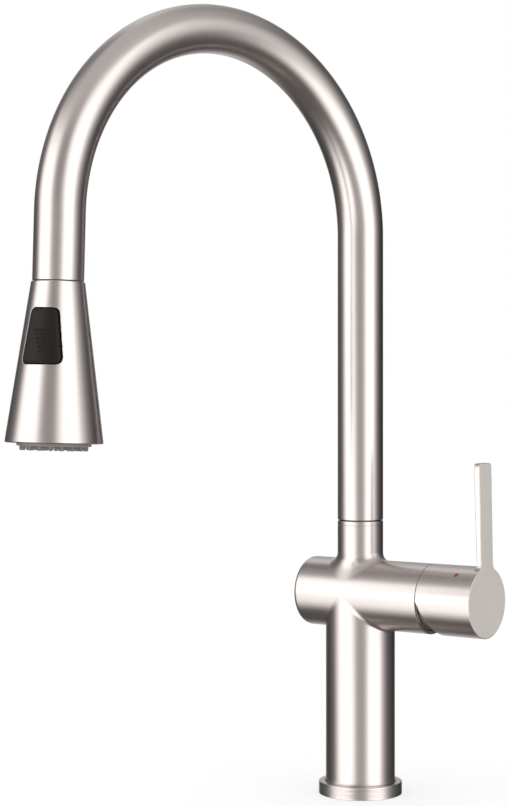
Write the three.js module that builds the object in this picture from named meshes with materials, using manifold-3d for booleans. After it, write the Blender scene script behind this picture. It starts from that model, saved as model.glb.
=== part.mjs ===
// Pull-down kitchen faucet: a single-hole body with a side lever, a swivelling gooseneck spout
// and a spray head on a hose. Millimetres, +Z up.
// The origin is on the column's axis at the underside of the base flange, where the faucet sits
// on its deck. The side lever is on +X and the spout reaches towards -Y.

import * as THREE from "three";
import { mergeVertices } from "three/addons/utils/BufferGeometryUtils.js";
import Module from "manifold-3d";

const wasm = await Module();
wasm.setup();

// ---------------------------------------------------------------- driving dimensions

const GAP = 0.3; // clearance between pieces that rest on each other
const ROUND_SIDES = 32; // outer surfaces
const HIDDEN_SIDES = 20; // round pieces and bores inside
const SMALL_SIDES = 12;
const HOSE_SIDES = 10;
const PIN_SIDES = 8;

const columnRadius = 21.2; // column, cross body and lever barrel are one tube size
const tubeRadius = 14; // spout tube and neck
const tubeBore = 12.8;
const insideTube = tubeBore - 0.4; // pieces held in the tube
const tubeSlip = 0.4; // room round a piece that slides into a bore

const flangeRadius = 25.5;
const flangeHeight = 7.6;
const flangeRecess = 1.6;

const crossZ = 122.5; // height of the cross body's axis
const crossLeftX = -36.3;
const seamX = 52.75; // joint between the cross body and the lever barrel, and the lever's pivot
const leverFaceX = 90.1;
const castWall = 2;
const seamChamfer = 0.15; // edges on both sides of the joint
const barrelBore = 18; // inside of the lever barrel

const neckTopZ = 167.5;
const spoutFootZ = 168.1;
const riserTopZ = 341.4;
const bendRadius = 114.5;
const bendSweep = THREE.MathUtils.degToRad(178.2);
const outletLeg = 37.9;
const spoutTurn = THREE.MathUtils.degToRad(-10.86); // the spout rests swivelled from -Y
const headTurn = THREE.MathUtils.degToRad(27.8); // the spray head rests turned to the front right

const headLength = 87.3; // from the outlet to the spray head's rim
const headTopRadius = 14.5;
const headRimRadius = 26.7;
const headWall = 1.8;

const hoseRadius = 6;
const hoseFootZ = -58;
const hoseSplit = 36; // the hose is two pieces, divided this far inside the outlet
const deckThickness = 20;
const shankRadius = 15.8;
const shankBore = 13.5;
const shankFootZ = -52;
const shankTopZ = 15.7;

const FINISHES = {
  nickel: { color: 0xbdb3ab, metalness: 1, roughness: 0.28 },
  brass: { color: 0xb8934c, metalness: 1, roughness: 0.35 },
  steel: { color: 0xa9abad, metalness: 1, roughness: 0.35 },
  ceramic: { color: 0xece8de, metalness: 0, roughness: 0.2 },
  rubber: { color: 0x1d1c1b, metalness: 0, roughness: 0.8 },
  polymer: { color: 0x7d7c7a, metalness: 0, roughness: 0.45 },
  whitePolymer: { color: 0xdad7d0, metalness: 0, roughness: 0.4 },
  darkPolymer: { color: 0x2c2927, metalness: 0, roughness: 0.4 },
  braid: { color: 0x6f7173, metalness: 0.3, roughness: 0.6 },
  red: { color: 0xb3202a, metalness: 0, roughness: 0.3 },
  blue: { color: 0x2448a8, metalness: 0, roughness: 0.3 },
};

// ---------------------------------------------------------------- shape helpers

// One closed surface: shared vertices merged, and no triangle that has folded to a line.
function clean(geometry) {
  const bare = geometry.index ? geometry.toNonIndexed() : geometry.clone();
  bare.deleteAttribute("normal");
  bare.deleteAttribute("uv");
  const merged = mergeVertices(bare, 1e-4);
  const corners = merged.index.array;
  const kept = [];
  for (let i = 0; i < corners.length; i += 3) {
    const [a, b, c] = corners.subarray(i, i + 3);
    if (a !== b && b !== c && c !== a) {
      kept.push(a, b, c);
    }
  }
  merged.setIndex(kept);
  return merged;
}

function solidOf(geometry) {
  const closed = clean(geometry);
  const vertProperties = Float32Array.from(closed.attributes.position.array);
  const triVerts = Uint32Array.from(closed.index.array);
  return new wasm.Manifold(new wasm.Mesh({ numProp: 3, vertProperties, triVerts }));
}

function geometryOf(solid) {
  const { vertProperties, triVerts } = solid.getMesh();
  const geometry = new THREE.BufferGeometry();
  geometry.setAttribute("position", new THREE.BufferAttribute(vertProperties, 3));
  geometry.setIndex(new THREE.BufferAttribute(triVerts, 1));
  geometry.computeVertexNormals();
  return geometry;
}

function join(first, ...others) {
  return geometryOf(others.reduce((whole, part) => whole.add(solidOf(part)), solidOf(first)));
}

function cut(first, ...tools) {
  return geometryOf(tools.reduce((whole, tool) => whole.subtract(solidOf(tool)), solidOf(first)));
}

function common(first, second) {
  return geometryOf(solidOf(first).intersect(solidOf(second)));
}

// A profile of [radius, height] points, anticlockwise, turned about Z.
function turned(profile, sides = ROUND_SIDES) {
  const points = profile.map(([radius, height]) => new THREE.Vector2(radius, height));
  points.push(points[0].clone());
  return clean(new THREE.LatheGeometry(points, sides).rotateX(Math.PI / 2));
}

function rod(radius, from, to, sides = ROUND_SIDES) {
  return turned([[0, from], [radius, from], [radius, to], [0, to]], sides);
}

function ring(inner, outer, from, to, sides = ROUND_SIDES) {
  return turned([[inner, from], [outer, from], [outer, to], [inner, to]], sides);
}

// A ring of round section, such as an O-ring.
function roundRing(radius, section, height) {
  const sectionSides = 6;
  const points = arcPoints(radius, height, section, 0, 2 * Math.PI, sectionSides).slice(0, -1);
  return turned(points, HIDDEN_SIDES);
}

function box([x0, x1], [y0, y1], [z0, z1]) {
  const geometry = new THREE.BoxGeometry(x1 - x0, y1 - y0, z1 - z0);
  return geometry.translate((x0 + x1) / 2, (y0 + y1) / 2, (z0 + z1) / 2);
}

function arcPoints(centreX, centreY, radius, from, to, steps) {
  const points = [];
  for (let i = 0; i <= steps; i += 1) {
    const angle = from + ((to - from) * i) / steps;
    points.push([centreX + radius * Math.cos(angle), centreY + radius * Math.sin(angle)]);
  }
  return points;
}

// An outline extruded both ways from its own plane, along the third of the three given axes.
function prism(shape, depth, xAxis, yAxis, zAxis) {
  const settings = { depth, bevelEnabled: false, curveSegments: 6 };
  const geometry = new THREE.ExtrudeGeometry(shape, settings);
  geometry.translate(0, 0, -depth / 2);
  return geometry.applyMatrix4(new THREE.Matrix4().makeBasis(xAxis, yAxis, zAxis));
}

const X = new THREE.Vector3(1, 0, 0);
const Y = new THREE.Vector3(0, 1, 0);
const Z = new THREE.Vector3(0, 0, 1);
const minusY = new THREE.Vector3(0, -1, 0);

function outline(points) {
  return new THREE.Shape(points.map(([x, y]) => new THREE.Vector2(x, y)));
}

// Turns a piece made about Z so that it lies along X on the cross body's axis.
function alongCross(geometry) {
  return geometry.rotateY(Math.PI / 2).translate(0, 0, crossZ);
}

// Turns a piece made about Z so that it lies along Y, through the point (x, z).
function alongY(geometry, x, z) {
  return geometry.rotateX(-Math.PI / 2).translate(x, 0, z);
}

function addPart(parent, name, geometry, finish) {
  const mesh = new THREE.Mesh(geometry, new THREE.MeshStandardMaterial(FINISHES[finish]));
  mesh.name = name;
  parent.add(mesh);
}

// ---------------------------------------------------------------- base and deck mounting

const columnFootZ = flangeHeight - flangeRecess + GAP;
const flangeEdge = 0.5; // chamfer on the flange's top edge
const flangeBore = shankRadius + 0.8;
const gasketInner = 18.8;
const gasketOuter = 22.7;
const gasketHeight = 0.9;
const grooveDepth = gasketHeight + GAP;

function baseFlange() {
  const disc = turned([
    [0, 0],
    [flangeRadius - GAP, 0],
    [flangeRadius, GAP],
    [flangeRadius, flangeHeight - flangeEdge],
    [flangeRadius - flangeEdge, flangeHeight],
    [0, flangeHeight],
  ]);
  const shankHole = rod(flangeBore, -1, flangeHeight + 1);
  const recessFloorZ = flangeHeight - flangeRecess;
  const columnRecess = rod(columnRadius + tubeSlip, recessFloorZ, flangeHeight + 1);
  const gasketGroove = ring(gasketInner - GAP, gasketOuter + GAP, -1, grooveDepth);
  return cut(disc, shankHole, columnRecess, gasketGroove);
}

function addBase(body) {
  addPart(body, "base_flange", baseFlange(), "nickel");
  addPart(body, "base_gasket", ring(gasketInner, gasketOuter, 0, gasketHeight), "rubber");
  const shank = ring(shankBore, shankRadius, shankFootZ, shankTopZ);
  addPart(body, "mounting_shank", shank, "brass");
}

const clampBore = shankRadius + 0.6;
const clampGasket = { radius: 27, thickness: 2 };
const clampWasher = { radius: 28, thickness: 2.3 };
const mountingNut = { cornerRadius: 27, hexHeight: 11, collarRadius: 22, height: 14 };

function addDeckClamp(body) {
  const gasketFoot = -deckThickness - clampGasket.thickness;
  const washerTop = gasketFoot - GAP;
  const washerFoot = washerTop - clampWasher.thickness;
  const nutTop = washerFoot - GAP;
  const nutFoot = nutTop - mountingNut.height;
  const gasket = ring(clampBore, clampGasket.radius, gasketFoot, -deckThickness);
  addPart(body, "clamp_gasket", gasket, "rubber");
  const washer = ring(clampBore, clampWasher.radius, washerFoot, washerTop);
  addPart(body, "clamp_washer", washer, "steel");
  const hexagon = rod(mountingNut.cornerRadius, nutTop - mountingNut.hexHeight, nutTop, 6);
  const collar = rod(mountingNut.collarRadius, nutFoot, nutTop);
  const nut = cut(join(hexagon, collar), rod(shankRadius + GAP, nutFoot - 1, nutTop + 1));
  addPart(body, "mounting_nut", nut, "brass");
}

// ---------------------------------------------------------------- body shell

const crossBore = 19.3;
const crossEndX = seamX - GAP / 2;
const endEdge = 1.5; // rounded edge of the closed end
const endWall = 2.5;
const columnBore = columnRadius - castWall;
const collarTopZ = 16; // the column is thicker below this, where it is screwed to the shank
const neckBore = 12.2;
const bushingSeatRadius = 13.1;
const bushingFootZ = 157;
const clipZ = 151.25; // middle of the spout's retaining clip
const ringGrooveHalf = 0.95; // half the height of the grooves for the clip and the O-rings

function bodyShell() {
  const column = rod(columnRadius, columnFootZ, crossZ);
  const closedEnd = arcPoints(
    columnRadius - endEdge,
    crossLeftX + endEdge,
    endEdge,
    -Math.PI / 2,
    0,
    4,
  );
  const cross = turned([
    [0, crossLeftX],
    ...closedEnd,
    [columnRadius, crossEndX - seamChamfer],
    [columnRadius - seamChamfer, crossEndX],
    [0, crossEndX],
  ]);
  const neck = rod(tubeRadius, crossZ, neckTopZ);
  const clipGroove = ring(
    neckBore - 1,
    bushingSeatRadius,
    clipZ - ringGrooveHalf,
    clipZ + ringGrooveHalf,
    HIDDEN_SIDES,
  );
  return cut(
    join(column, alongCross(cross), neck),
    rod(columnBore, collarTopZ, crossZ, HIDDEN_SIDES),
    rod(shankRadius + tubeSlip, columnFootZ - 1, collarTopZ + 1),
    alongCross(rod(crossBore, crossLeftX + endWall, seamX + 1)),
    rod(neckBore, crossZ, neckTopZ + 1, HIDDEN_SIDES),
    rod(bushingSeatRadius, bushingFootZ, neckTopZ + 1, HIDDEN_SIDES),
    clipGroove,
  );
}

function addBody(body) {
  addPart(body, "body_shell", bodyShell(), "nickel");
  const outer = bushingSeatRadius - GAP;
  const bushingTopZ = 166.4;
  const bushing = ring(neckBore - 0.1, outer, bushingFootZ + GAP, bushingTopZ, HIDDEN_SIDES);
  addPart(body, "neck_bushing", bushing, "whitePolymer");
  const washer = ring(neckBore, outer, bushingTopZ + GAP, spoutFootZ - GAP, HIDDEN_SIDES);
  addPart(body, "swivel_washer", washer, "rubber");
}

// ---------------------------------------------------------------- valve, standing pieces

const seatBackX = 8.5;
const seatFaceX = 19;
const discFaceX = 34; // back of the fixed ceramic disc
const discFrontX = 38.7;
const housingBore = 15;
const housingRadius = 17.4;
const housingFrontX = 48;
const housingLipX = 46.9; // behind the housing's front wall
const housingNeck = { radius: 12.5, endX: 56.5 };
const turretRadius = 9.2;
const waterway = 2.4; // radius of the ways through the valve
const sealSeat = { radius: 4.2, depth: 1.2 };
const seatSeal = { inner: 2.6, outer: 3.9, height: 0.9 };
// Where the hot, cold and mixed ways run through the seat, the base and the fixed disc.
const PORTS = [
  { name: "hot", y: -8, z: crossZ - 5 },
  { name: "cold", y: 8, z: crossZ - 5 },
  { name: "mixed", y: 0, z: crossZ + 8 },
];

function portHole(port, radius, from, to) {
  const hole = rod(radius, from, to, PIN_SIDES).rotateY(Math.PI / 2);
  return hole.translate(0, port.y, port.z);
}

function valveSeat() {
  const block = alongCross(rod(crossBore - GAP, seatBackX, seatFaceX));
  const middleX = (seatBackX + seatFaceX) / 2;
  const ways = [];
  for (const port of PORTS) {
    const drop = rod(waterway, crossZ - columnRadius, port.z, PIN_SIDES);
    ways.push(drop.translate(middleX, port.y, 0));
    ways.push(portHole(port, waterway, middleX, seatFaceX + 1));
    ways.push(portHole(port, sealSeat.radius, seatFaceX - sealSeat.depth, seatFaceX + 1));
  }
  return cut(block, ...ways);
}

function addSeatSeals(body) {
  const { inner, outer, height } = seatSeal;
  for (const port of PORTS) {
    const seal = ring(inner, outer, seatFaceX - height, seatFaceX, SMALL_SIDES);
    seal.rotateY(Math.PI / 2).translate(0, port.y, port.z);
    addPart(body, `seat_seal_${port.name}`, seal, "rubber");
  }
}

function cartridgeHousing() {
  return alongCross(turned([
    [housingBore, seatFaceX + GAP],
    [housingRadius, seatFaceX + GAP],
    [housingRadius, housingFrontX],
    [housingNeck.radius, housingFrontX],
    [housingNeck.radius, housingNeck.endX],
    [turretRadius + tubeSlip, housingNeck.endX],
    [turretRadius + tubeSlip, housingLipX],
    [housingBore, housingLipX],
  ], HIDDEN_SIDES));
}

function portedDisc(from, to) {
  const disc = alongCross(rod(housingBore - GAP, from, to, HIDDEN_SIDES));
  return cut(disc, ...PORTS.map((port) => portHole(port, waterway, from - 1, to + 1)));
}

// A spherical cover centred on the lever's pivot, which shows where the lever tilts away.
function bonnetDome() {
  const outer = barrelBore - GAP;
  const inner = outer - 1.4;
  const hole = 10.4;
  const outerArc = arcPoints(0, seamX, outer, 0, Math.acos(hole / outer), 5);
  const innerArc = arcPoints(0, seamX, inner, Math.acos(hole / inner), 0, 3);
  return alongCross(turned([...outerArc, ...innerArc]));
}

function addValveBase(body) {
  addPart(body, "valve_seat", valveSeat(), "brass");
  addSeatSeals(body);
  addPart(body, "cartridge_housing", cartridgeHousing(), "whitePolymer");
  addPart(body, "cartridge_base", portedDisc(seatFaceX + GAP, discFaceX - GAP), "darkPolymer");
  addPart(body, "fixed_ceramic_disc", portedDisc(discFaceX, discFrontX), "ceramic");
  const nutBore = housingNeck.radius + 0.5;
  const nutOuter = crossBore - tubeSlip;
  const nut = ring(nutBore, nutOuter, housingFrontX + GAP, seamX - GAP - 0.05, HIDDEN_SIDES);
  addPart(body, "cartridge_nut", alongCross(nut), "steel");
  addPart(body, "bonnet_dome", bonnetDome(), "nickel");
}

// ---------------------------------------------------------------- valve, moving pieces

const stemHalf = 3; // half the side of the square stem
const stemEndX = 85.5;
const stemStartX = 46.2;
const ballX = seamX - 9;
const ballRadius = 2.6;
const stemPin = { radius: 1.5, half: 8.6 };
const turretFlange = { radius: 14, startX: 43.8, endX: 46.6 };
const turretEndX = 56;
const movingDiscSize = { radius: 11, backX: discFrontX + GAP, frontX: 43.4 };

function stemPinHole() {
  return alongY(rod(stemPin.radius + GAP, -10, 10, PIN_SIDES), seamX, crossZ);
}

function cartridgeTurret() {
  const body = alongCross(turned([
    [0, turretFlange.startX],
    [turretFlange.radius, turretFlange.startX],
    [turretFlange.radius, turretFlange.endX],
    [turretRadius, turretFlange.endX],
    [turretRadius, turretEndX],
    [0, turretEndX],
  ], HIDDEN_SIDES));
  const halfWidth = stemHalf + GAP;
  const swing = [crossZ - 5.5, crossZ + 7.8]; // the stem's room as the lever tilts
  const stemSlot = box([turretFlange.startX - 1, turretEndX + 1], [-halfWidth, halfWidth], swing);
  return cut(body, stemSlot, stemPinHole());
}

function movingDisc() {
  const { radius, backX, frontX } = movingDiscSize;
  const disc = alongCross(rod(radius, backX, frontX, HIDDEN_SIDES));
  const pocketFloorX = ballX - ballRadius - GAP - 0.05;
  const ballPocket = alongCross(rod(ballRadius + 0.4, pocketFloorX, frontX + 1, SMALL_SIDES));
  const mixingPocket = box([backX - 1, backX + 1.2], [-6, 6], [crossZ - 8, crossZ + 4]);
  return cut(disc, ballPocket, mixingPocket);
}

function cartridgeStem() {
  const square = [-stemHalf, stemHalf];
  const bar = box([stemStartX, stemEndX], square, [crossZ - stemHalf, crossZ + stemHalf]);
  const neck = alongCross(rod(1.9, ballX, stemStartX + 0.6, PIN_SIDES));
  const ball = new THREE.SphereGeometry(ballRadius, 12, 8).translate(ballX, 0, crossZ);
  return cut(join(bar, neck, ball), stemPinHole());
}

function addValveMotion(body) {
  addPart(body, "cartridge_turret", cartridgeTurret(), "whitePolymer");
  const pin = rod(stemPin.radius, -stemPin.half, stemPin.half, PIN_SIDES);
  addPart(body, "stem_pin", alongY(pin, seamX, crossZ), "steel");
  addPart(body, "moving_ceramic_disc", movingDisc(), "ceramic");
  addPart(body, "cartridge_stem", cartridgeStem(), "brass");
}

// ---------------------------------------------------------------- lever

const leverStartX = seamX + GAP;
const hub = { radius: 8, startX: 70.5 };
const barrelFloorX = 84;
const faceEdge = 0.4; // chamfer round the lever's disc
const reliefSlope = Math.tan(THREE.MathUtils.degToRad(24.3)); // clears the body as the lever tilts
const reliefDepth = 26;
const index = { x: 76.4, radius: 1.1, proud: 0.15, depth: 0.9 };
const indexAngle = THREE.MathUtils.degToRad(37); // from the top, to the front and to the back
const screw = { x: 77.5, radius: 2.5, length: 5, socket: 1.4, socketDepth: 2.5 };

// The paddle stands on the disc's upper edge.
const paddle = {
  halfWidth: 7,
  topZ: 205,
  footZ: crossZ + 12, // inside the barrel
  filletZ: 143, // where its straight sides begin
  flare: 2.5, // how far its foot widens into the disc
  corner: 2.8,
  footX: 86.4,
  backX: 87.1,
  backTopX: 84.9,
  leanIn: 1.2,
};

function barrelSolid() {
  return alongCross(turned([
    [0, leverStartX],
    [columnRadius - seamChamfer, leverStartX],
    [columnRadius, leverStartX + seamChamfer],
    [columnRadius, leverFaceX - faceEdge],
    [columnRadius - faceEdge, leverFaceX],
    [0, leverFaceX],
  ]));
}

// The paddle is flush with the barrel's disc, leans in a little and is thicker at its top.
function paddleSide() {
  const { topZ, footZ, filletZ, footX, backX, backTopX, leanIn } = paddle;
  const justInside = 0.01; // keeps the foot's face behind the disc's
  return outline([
    [footX, footZ],
    [leverFaceX - justInside, footZ],
    [leverFaceX, filletZ],
    [leverFaceX - leanIn, topZ],
    [backTopX, topZ],
    [backX, filletZ],
  ]);
}

function paddleFront() {
  const { halfWidth, topZ, footZ, filletZ, flare, corner } = paddle;
  const footHalf = halfWidth + flare;
  const flareFootZ = filletZ - 1.5;
  const flareTopZ = filletZ + 2.5;
  const cornerY = halfWidth - corner;
  const cornerZ = topZ - corner;
  const front = new THREE.Shape();
  front.moveTo(-footHalf, footZ);
  front.lineTo(footHalf, footZ);
  front.lineTo(footHalf, flareFootZ);
  front.quadraticCurveTo(halfWidth, filletZ, halfWidth, flareTopZ);
  front.lineTo(halfWidth, cornerZ);
  front.absarc(cornerY, cornerZ, corner, 0, Math.PI / 2);
  front.lineTo(-cornerY, topZ);
  front.absarc(-cornerY, cornerZ, corner, Math.PI / 2, Math.PI);
  front.lineTo(-halfWidth, flareTopZ);
  front.quadraticCurveTo(-halfWidth, filletZ, -footHalf, flareFootZ);
  return front;
}

function paddleSolid() {
  const sideSolid = prism(paddleSide(), 40, X, Z, minusY);
  const frontSolid = prism(paddleFront(), 200, Y, Z, X);
  return common(sideSolid, frontSolid);
}

function reliefWedge() {
  const wedge = outline([
    [leverStartX - 2, crossZ - reliefDepth],
    [leverStartX + reliefDepth * reliefSlope, crossZ - reliefDepth],
    [leverStartX, crossZ],
    [leverStartX - 2, crossZ],
  ]);
  return prism(wedge, 60, X, Z, minusY);
}

// A round piece on the barrel's surface, tilted from the top by the angle about the barrel's axis.
function onBarrel(geometry, angle) {
  return geometry.rotateX(angle).translate(index.x, 0, crossZ);
}

function indexPocket() {
  const floor = columnRadius - index.depth - GAP;
  return rod(index.radius + GAP, floor, columnRadius + 1, PIN_SIDES);
}

function leverHandle() {
  const hubSolid = alongCross(rod(hub.radius, hub.startX, barrelFloorX + 1, SMALL_SIDES));
  const cavity = alongCross(rod(barrelBore, leverStartX - 1, barrelFloorX));
  const square = stemHalf + GAP;
  const stemBore = box(
    [hub.startX - 1, stemEndX + 0.5],
    [-square, square],
    [crossZ - square, crossZ + square],
  );
  const screwHole = rod(screw.radius + GAP, crossZ - columnRadius - 1, crossZ, PIN_SIDES);
  const hollow = cut(barrelSolid(), cavity);
  return cut(
    join(hollow, paddleSolid(), hubSolid),
    reliefWedge(),
    stemBore,
    screwHole.translate(screw.x, 0, 0),
    onBarrel(indexPocket(), indexAngle),
    onBarrel(indexPocket(), -indexAngle),
  );
}

function setScrew() {
  const top = crossZ - stemHalf - GAP;
  const foot = top - screw.length;
  const solid = rod(screw.radius, foot, top, PIN_SIDES);
  const socket = rod(screw.socket, foot - 1, foot + screw.socketDepth, 6);
  return cut(solid, socket).translate(screw.x, 0, 0);
}

function screwPlug() {
  const foot = crossZ - columnRadius + 0.1;
  const height = 2.6;
  return rod(screw.radius, foot, foot + height, PIN_SIDES).translate(screw.x, 0, 0);
}

function indexDot(angle) {
  const dot = rod(index.radius, columnRadius - index.depth, columnRadius + index.proud, PIN_SIDES);
  return onBarrel(dot, angle);
}

function addLever(body) {
  addPart(body, "lever_handle", leverHandle(), "nickel");
  addPart(body, "handle_set_screw", setScrew(), "steel");
  addPart(body, "handle_screw_plug", screwPlug(), "darkPolymer");
  addPart(body, "hot_index", indexDot(indexAngle), "red");
  addPart(body, "cold_index", indexDot(-indexAngle), "blue");
}

// ---------------------------------------------------------------- spout

// Straight up the riser, round the bend towards -Y, then down the outlet leg. Equal steps of the
// parameter are one straight, the bend's equal angles, and the other straight.
class GooseneckPath extends THREE.Curve {
  constructor(footZ, leg, bendSteps) {
    super();
    this.footZ = footZ;
    this.leg = leg;
    this.bendSteps = bendSteps;
  }

  at(t) {
    const step = t * (this.bendSteps + 2);
    const turn = THREE.MathUtils.clamp((step - 1) / this.bendSteps, 0, 1) * bendSweep;
    const rise = Math.min(step, 1) * (riserTopZ - this.footZ) + this.footZ;
    const drop = Math.max(step - this.bendSteps - 1, 0) * this.leg;
    return { turn, rise, drop };
  }

  getPoint(t, target = new THREE.Vector3()) {
    const { turn, rise, drop } = this.at(t);
    const reach = bendRadius * (1 - Math.cos(turn)) + drop * Math.sin(turn);
    const height = rise + bendRadius * Math.sin(turn) + drop * Math.cos(turn);
    return target.set(0, -reach, height);
  }

  getTangent(t, target = new THREE.Vector3()) {
    const { turn } = this.at(t);
    return target.set(0, -Math.sin(turn), Math.cos(turn));
  }

  getUtoTmapping(u) {
    return u;
  }
}

function bentTube(path, outer, inner, outerSides, innerSides) {
  const section = outline(arcPoints(0, 0, outer, 0, 2 * Math.PI, outerSides).slice(0, -1));
  if (inner > 0) {
    const hole = arcPoints(0, 0, inner, 0, -2 * Math.PI, innerSides).slice(0, -1);
    section.holes.push(outline(hole));
  }
  const steps = path.bendSteps + 2;
  return clean(new THREE.ExtrudeGeometry(section, { steps, extrudePath: path }));
}

const insert = { bore: 8.8, radius: 11.8, footZ: 143, topZ: 196 };
const lowerRingZ = 146.8;
const upperRingZ = 155.2;
const oRing = { radius: 11.35, section: 0.6 };
const oRingGrooveRadius = 10.4;
const clip = { inner: 11, outer: 12.8, half: 0.65 };
const clipGrooveRadius = 10.7;

function insertGroove(middle, floor) {
  const from = middle - ringGrooveHalf;
  return ring(floor, neckBore + 1, from, middle + ringGrooveHalf, HIDDEN_SIDES);
}

function spoutInsert() {
  const sleeve = turned([
    [insert.bore, insert.footZ],
    [insert.radius, insert.footZ],
    [insert.radius, spoutFootZ],
    [insideTube, spoutFootZ],
    [insideTube, insert.topZ],
    [insert.bore, insert.topZ],
  ], HIDDEN_SIDES);
  return cut(
    sleeve,
    insertGroove(lowerRingZ, oRingGrooveRadius),
    insertGroove(clipZ, clipGrooveRadius),
    insertGroove(upperRingZ, oRingGrooveRadius),
  );
}

function swivelRing(height) {
  return roundRing(oRing.radius, oRing.section, height);
}

function retainingClip() {
  const whole = ring(clip.inner, clip.outer, clipZ - clip.half, clipZ + clip.half, HIDDEN_SIDES);
  const opening = box([-3, 3], [5, 15], [clipZ - 2, clipZ + 2]);
  return cut(whole, opening);
}

function addSpout(spout) {
  const tubePath = new GooseneckPath(spoutFootZ, outletLeg, 24);
  const tube = bentTube(tubePath, tubeRadius, tubeBore, 24, 18);
  addPart(spout, "spout_tube", tube, "nickel");
  addPart(spout, "spout_insert", spoutInsert(), "brass");
  addPart(spout, "swivel_oring_lower", swivelRing(lowerRingZ), "rubber");
  addPart(spout, "swivel_oring_upper", swivelRing(upperRingZ), "rubber");
  addPart(spout, "retaining_clip", retainingClip(), "steel");
  const hosePath = new GooseneckPath(hoseFootZ, outletLeg - hoseSplit - GAP, 20);
  addPart(spout, "spray_hose", bentTube(hosePath, hoseRadius, 0, HOSE_SIDES), "braid");
}

// ---------------------------------------------------------------- spray head

// The spray head and the hose's end are made about their own Z, which runs down the outlet's axis
// from the end of the spout tube. Their +X is the side that the button is on.

const collarInner = 10.4;
const dockBore = 7.8;
const plugOuter = 10;
const plugFlange = { radius: 12.4, from: 2.7, to: 5 };
const coreRadius = 10.5;
const button = {
  top: 15.6,
  foot: 44.8,
  topHalf: 7.6,
  footHalf: 11.1,
  corner: 3,
  proud: 0.6, // outside the shell's cone
  backing: 2, // inside it
  margin: 0.6, // room for the rocking ends in the shell's window
};
const pinAt = 30.3;
const pinX = 12;
const pinRadius = 1.2;
const lug = { radius: 2.6, half: 4 };
const fingerTip = 7.6;
const spool = { x: 6, radius: 2.2, from: 25.5, to: 39 };
const faceInsertRadius = 20.2;
const faceInsertWall = 0.8;
const faceDepth = 88.9;
const nozzleReach = 2.4; // nozzle tips beyond the face

function coneRadius(at) {
  return headTopRadius + ((headRimRadius - headTopRadius) * at) / headLength;
}

function cone(offset, from, to) {
  const start = coneRadius(from) + offset;
  const end = coneRadius(to) + offset;
  return turned([[0, from], [start, from], [end, to], [0, to]]);
}

// The button's outline as seen from its own side, wider towards the rim.
function buttonOutline(margin) {
  const corner = button.corner + margin;
  const top = button.top - margin;
  const foot = button.foot + margin;
  const topHalf = button.topHalf + margin;
  const sideHalf = topHalf + 0.3; // where the straight side begins
  const footHalf = button.footHalf + margin;
  const shape = new THREE.Shape();
  shape.moveTo(corner - topHalf, top);
  shape.lineTo(topHalf - corner, top);
  shape.quadraticCurveTo(topHalf, top, sideHalf, top + corner);
  shape.lineTo(footHalf, foot - corner);
  shape.quadraticCurveTo(footHalf, foot, footHalf - corner, foot);
  shape.lineTo(corner - footHalf, foot);
  shape.quadraticCurveTo(-footHalf, foot, -footHalf, foot - corner);
  shape.lineTo(-sideHalf, top + corner);
  shape.quadraticCurveTo(-topHalf, top, corner - topHalf, top);
  return shape;
}

function buttonPrism(margin) {
  const depth = 24;
  return prism(buttonOutline(margin), depth, Y, Z, X).translate(depth / 2 + 6, 0, 0);
}

function sprayShell() {
  const top = 0.4;
  const chamfer = 0.6;
  const outside = turned([
    [0, top],
    [coneRadius(top) - GAP, top],
    [coneRadius(top + GAP), top + GAP],
    [coneRadius(headLength - chamfer), headLength - chamfer],
    [headRimRadius - chamfer, headLength],
    [0, headLength],
  ]);
  return cut(
    outside,
    cone(-headWall, plugFlange.from - GAP, headLength + 1),
    rod(plugOuter + GAP, -1, plugFlange.to - 1),
    buttonPrism(button.margin),
  );
}

function dockPlug() {
  const plugEnd = -20;
  const taper = { width: 0.8, length: 2 };
  return turned([
    [dockBore, plugEnd],
    [plugOuter - taper.width, plugEnd],
    [plugOuter, plugEnd + taper.length],
    [plugOuter, plugFlange.from],
    [plugFlange.radius, plugFlange.from],
    [plugFlange.radius, plugFlange.to],
    [dockBore, plugFlange.to],
  ], HIDDEN_SIDES);
}

// The core's outside widens from the neck behind the button to the foot that holds the spray face.
const core = { top: 5.3, neckEnd: 50, footStart: 64, foot: 71, footRadius: 20.5 };
const chamber = { neckRadius: 7.5, footRadius: 17.4 };

function coreBody() {
  return turned([
    [0, core.top],
    [coreRadius, core.top],
    [coreRadius, core.neckEnd],
    [core.footRadius, core.footStart],
    [core.footRadius, core.foot],
    [0, core.foot],
  ], HIDDEN_SIDES);
}

function coreChamber() {
  return turned([
    [0, core.neckEnd],
    [chamber.neckRadius, core.neckEnd],
    [chamber.footRadius, core.footStart],
    [chamber.footRadius, core.foot + 1],
    [0, core.foot + 1],
  ], SMALL_SIDES);
}

function headCore() {
  const ear = (from, to) => box([7, 14.2], [from, to], [pinAt - 3, pinAt + 3]);
  const lugRoom = lug.radius + 0.6;
  const lugWidth = lug.half + 0.4;
  const fingerRoom = 2.2;
  const inlet = rod(7.4, core.top - 1, 21, SMALL_SIDES);
  const streamWay = rod(2.6, 20, core.neckEnd + 1, PIN_SIDES).translate(-4, 0, 0);
  const spoolWay = rod(spool.radius + GAP, 24, core.neckEnd + 1, PIN_SIDES).translate(spool.x, 0, 0);
  return cut(
    join(coreBody(), ear(4.6, 6.8), ear(-6.8, -4.6)),
    inlet,
    streamWay,
    spoolWay,
    coreChamber(),
    box([8.8, 15], [-lugWidth, lugWidth], [pinAt - lugRoom, pinAt + lugRoom]),
    box([spool.x, 12], [-1.6, 1.6], [pinAt - fingerRoom, pinAt + fingerRoom]),
    buttonPinHole(),
  );
}

function buttonPinHole() {
  return alongY(rod(pinRadius + GAP, -10, 10, PIN_SIDES), pinX, pinAt);
}

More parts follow.
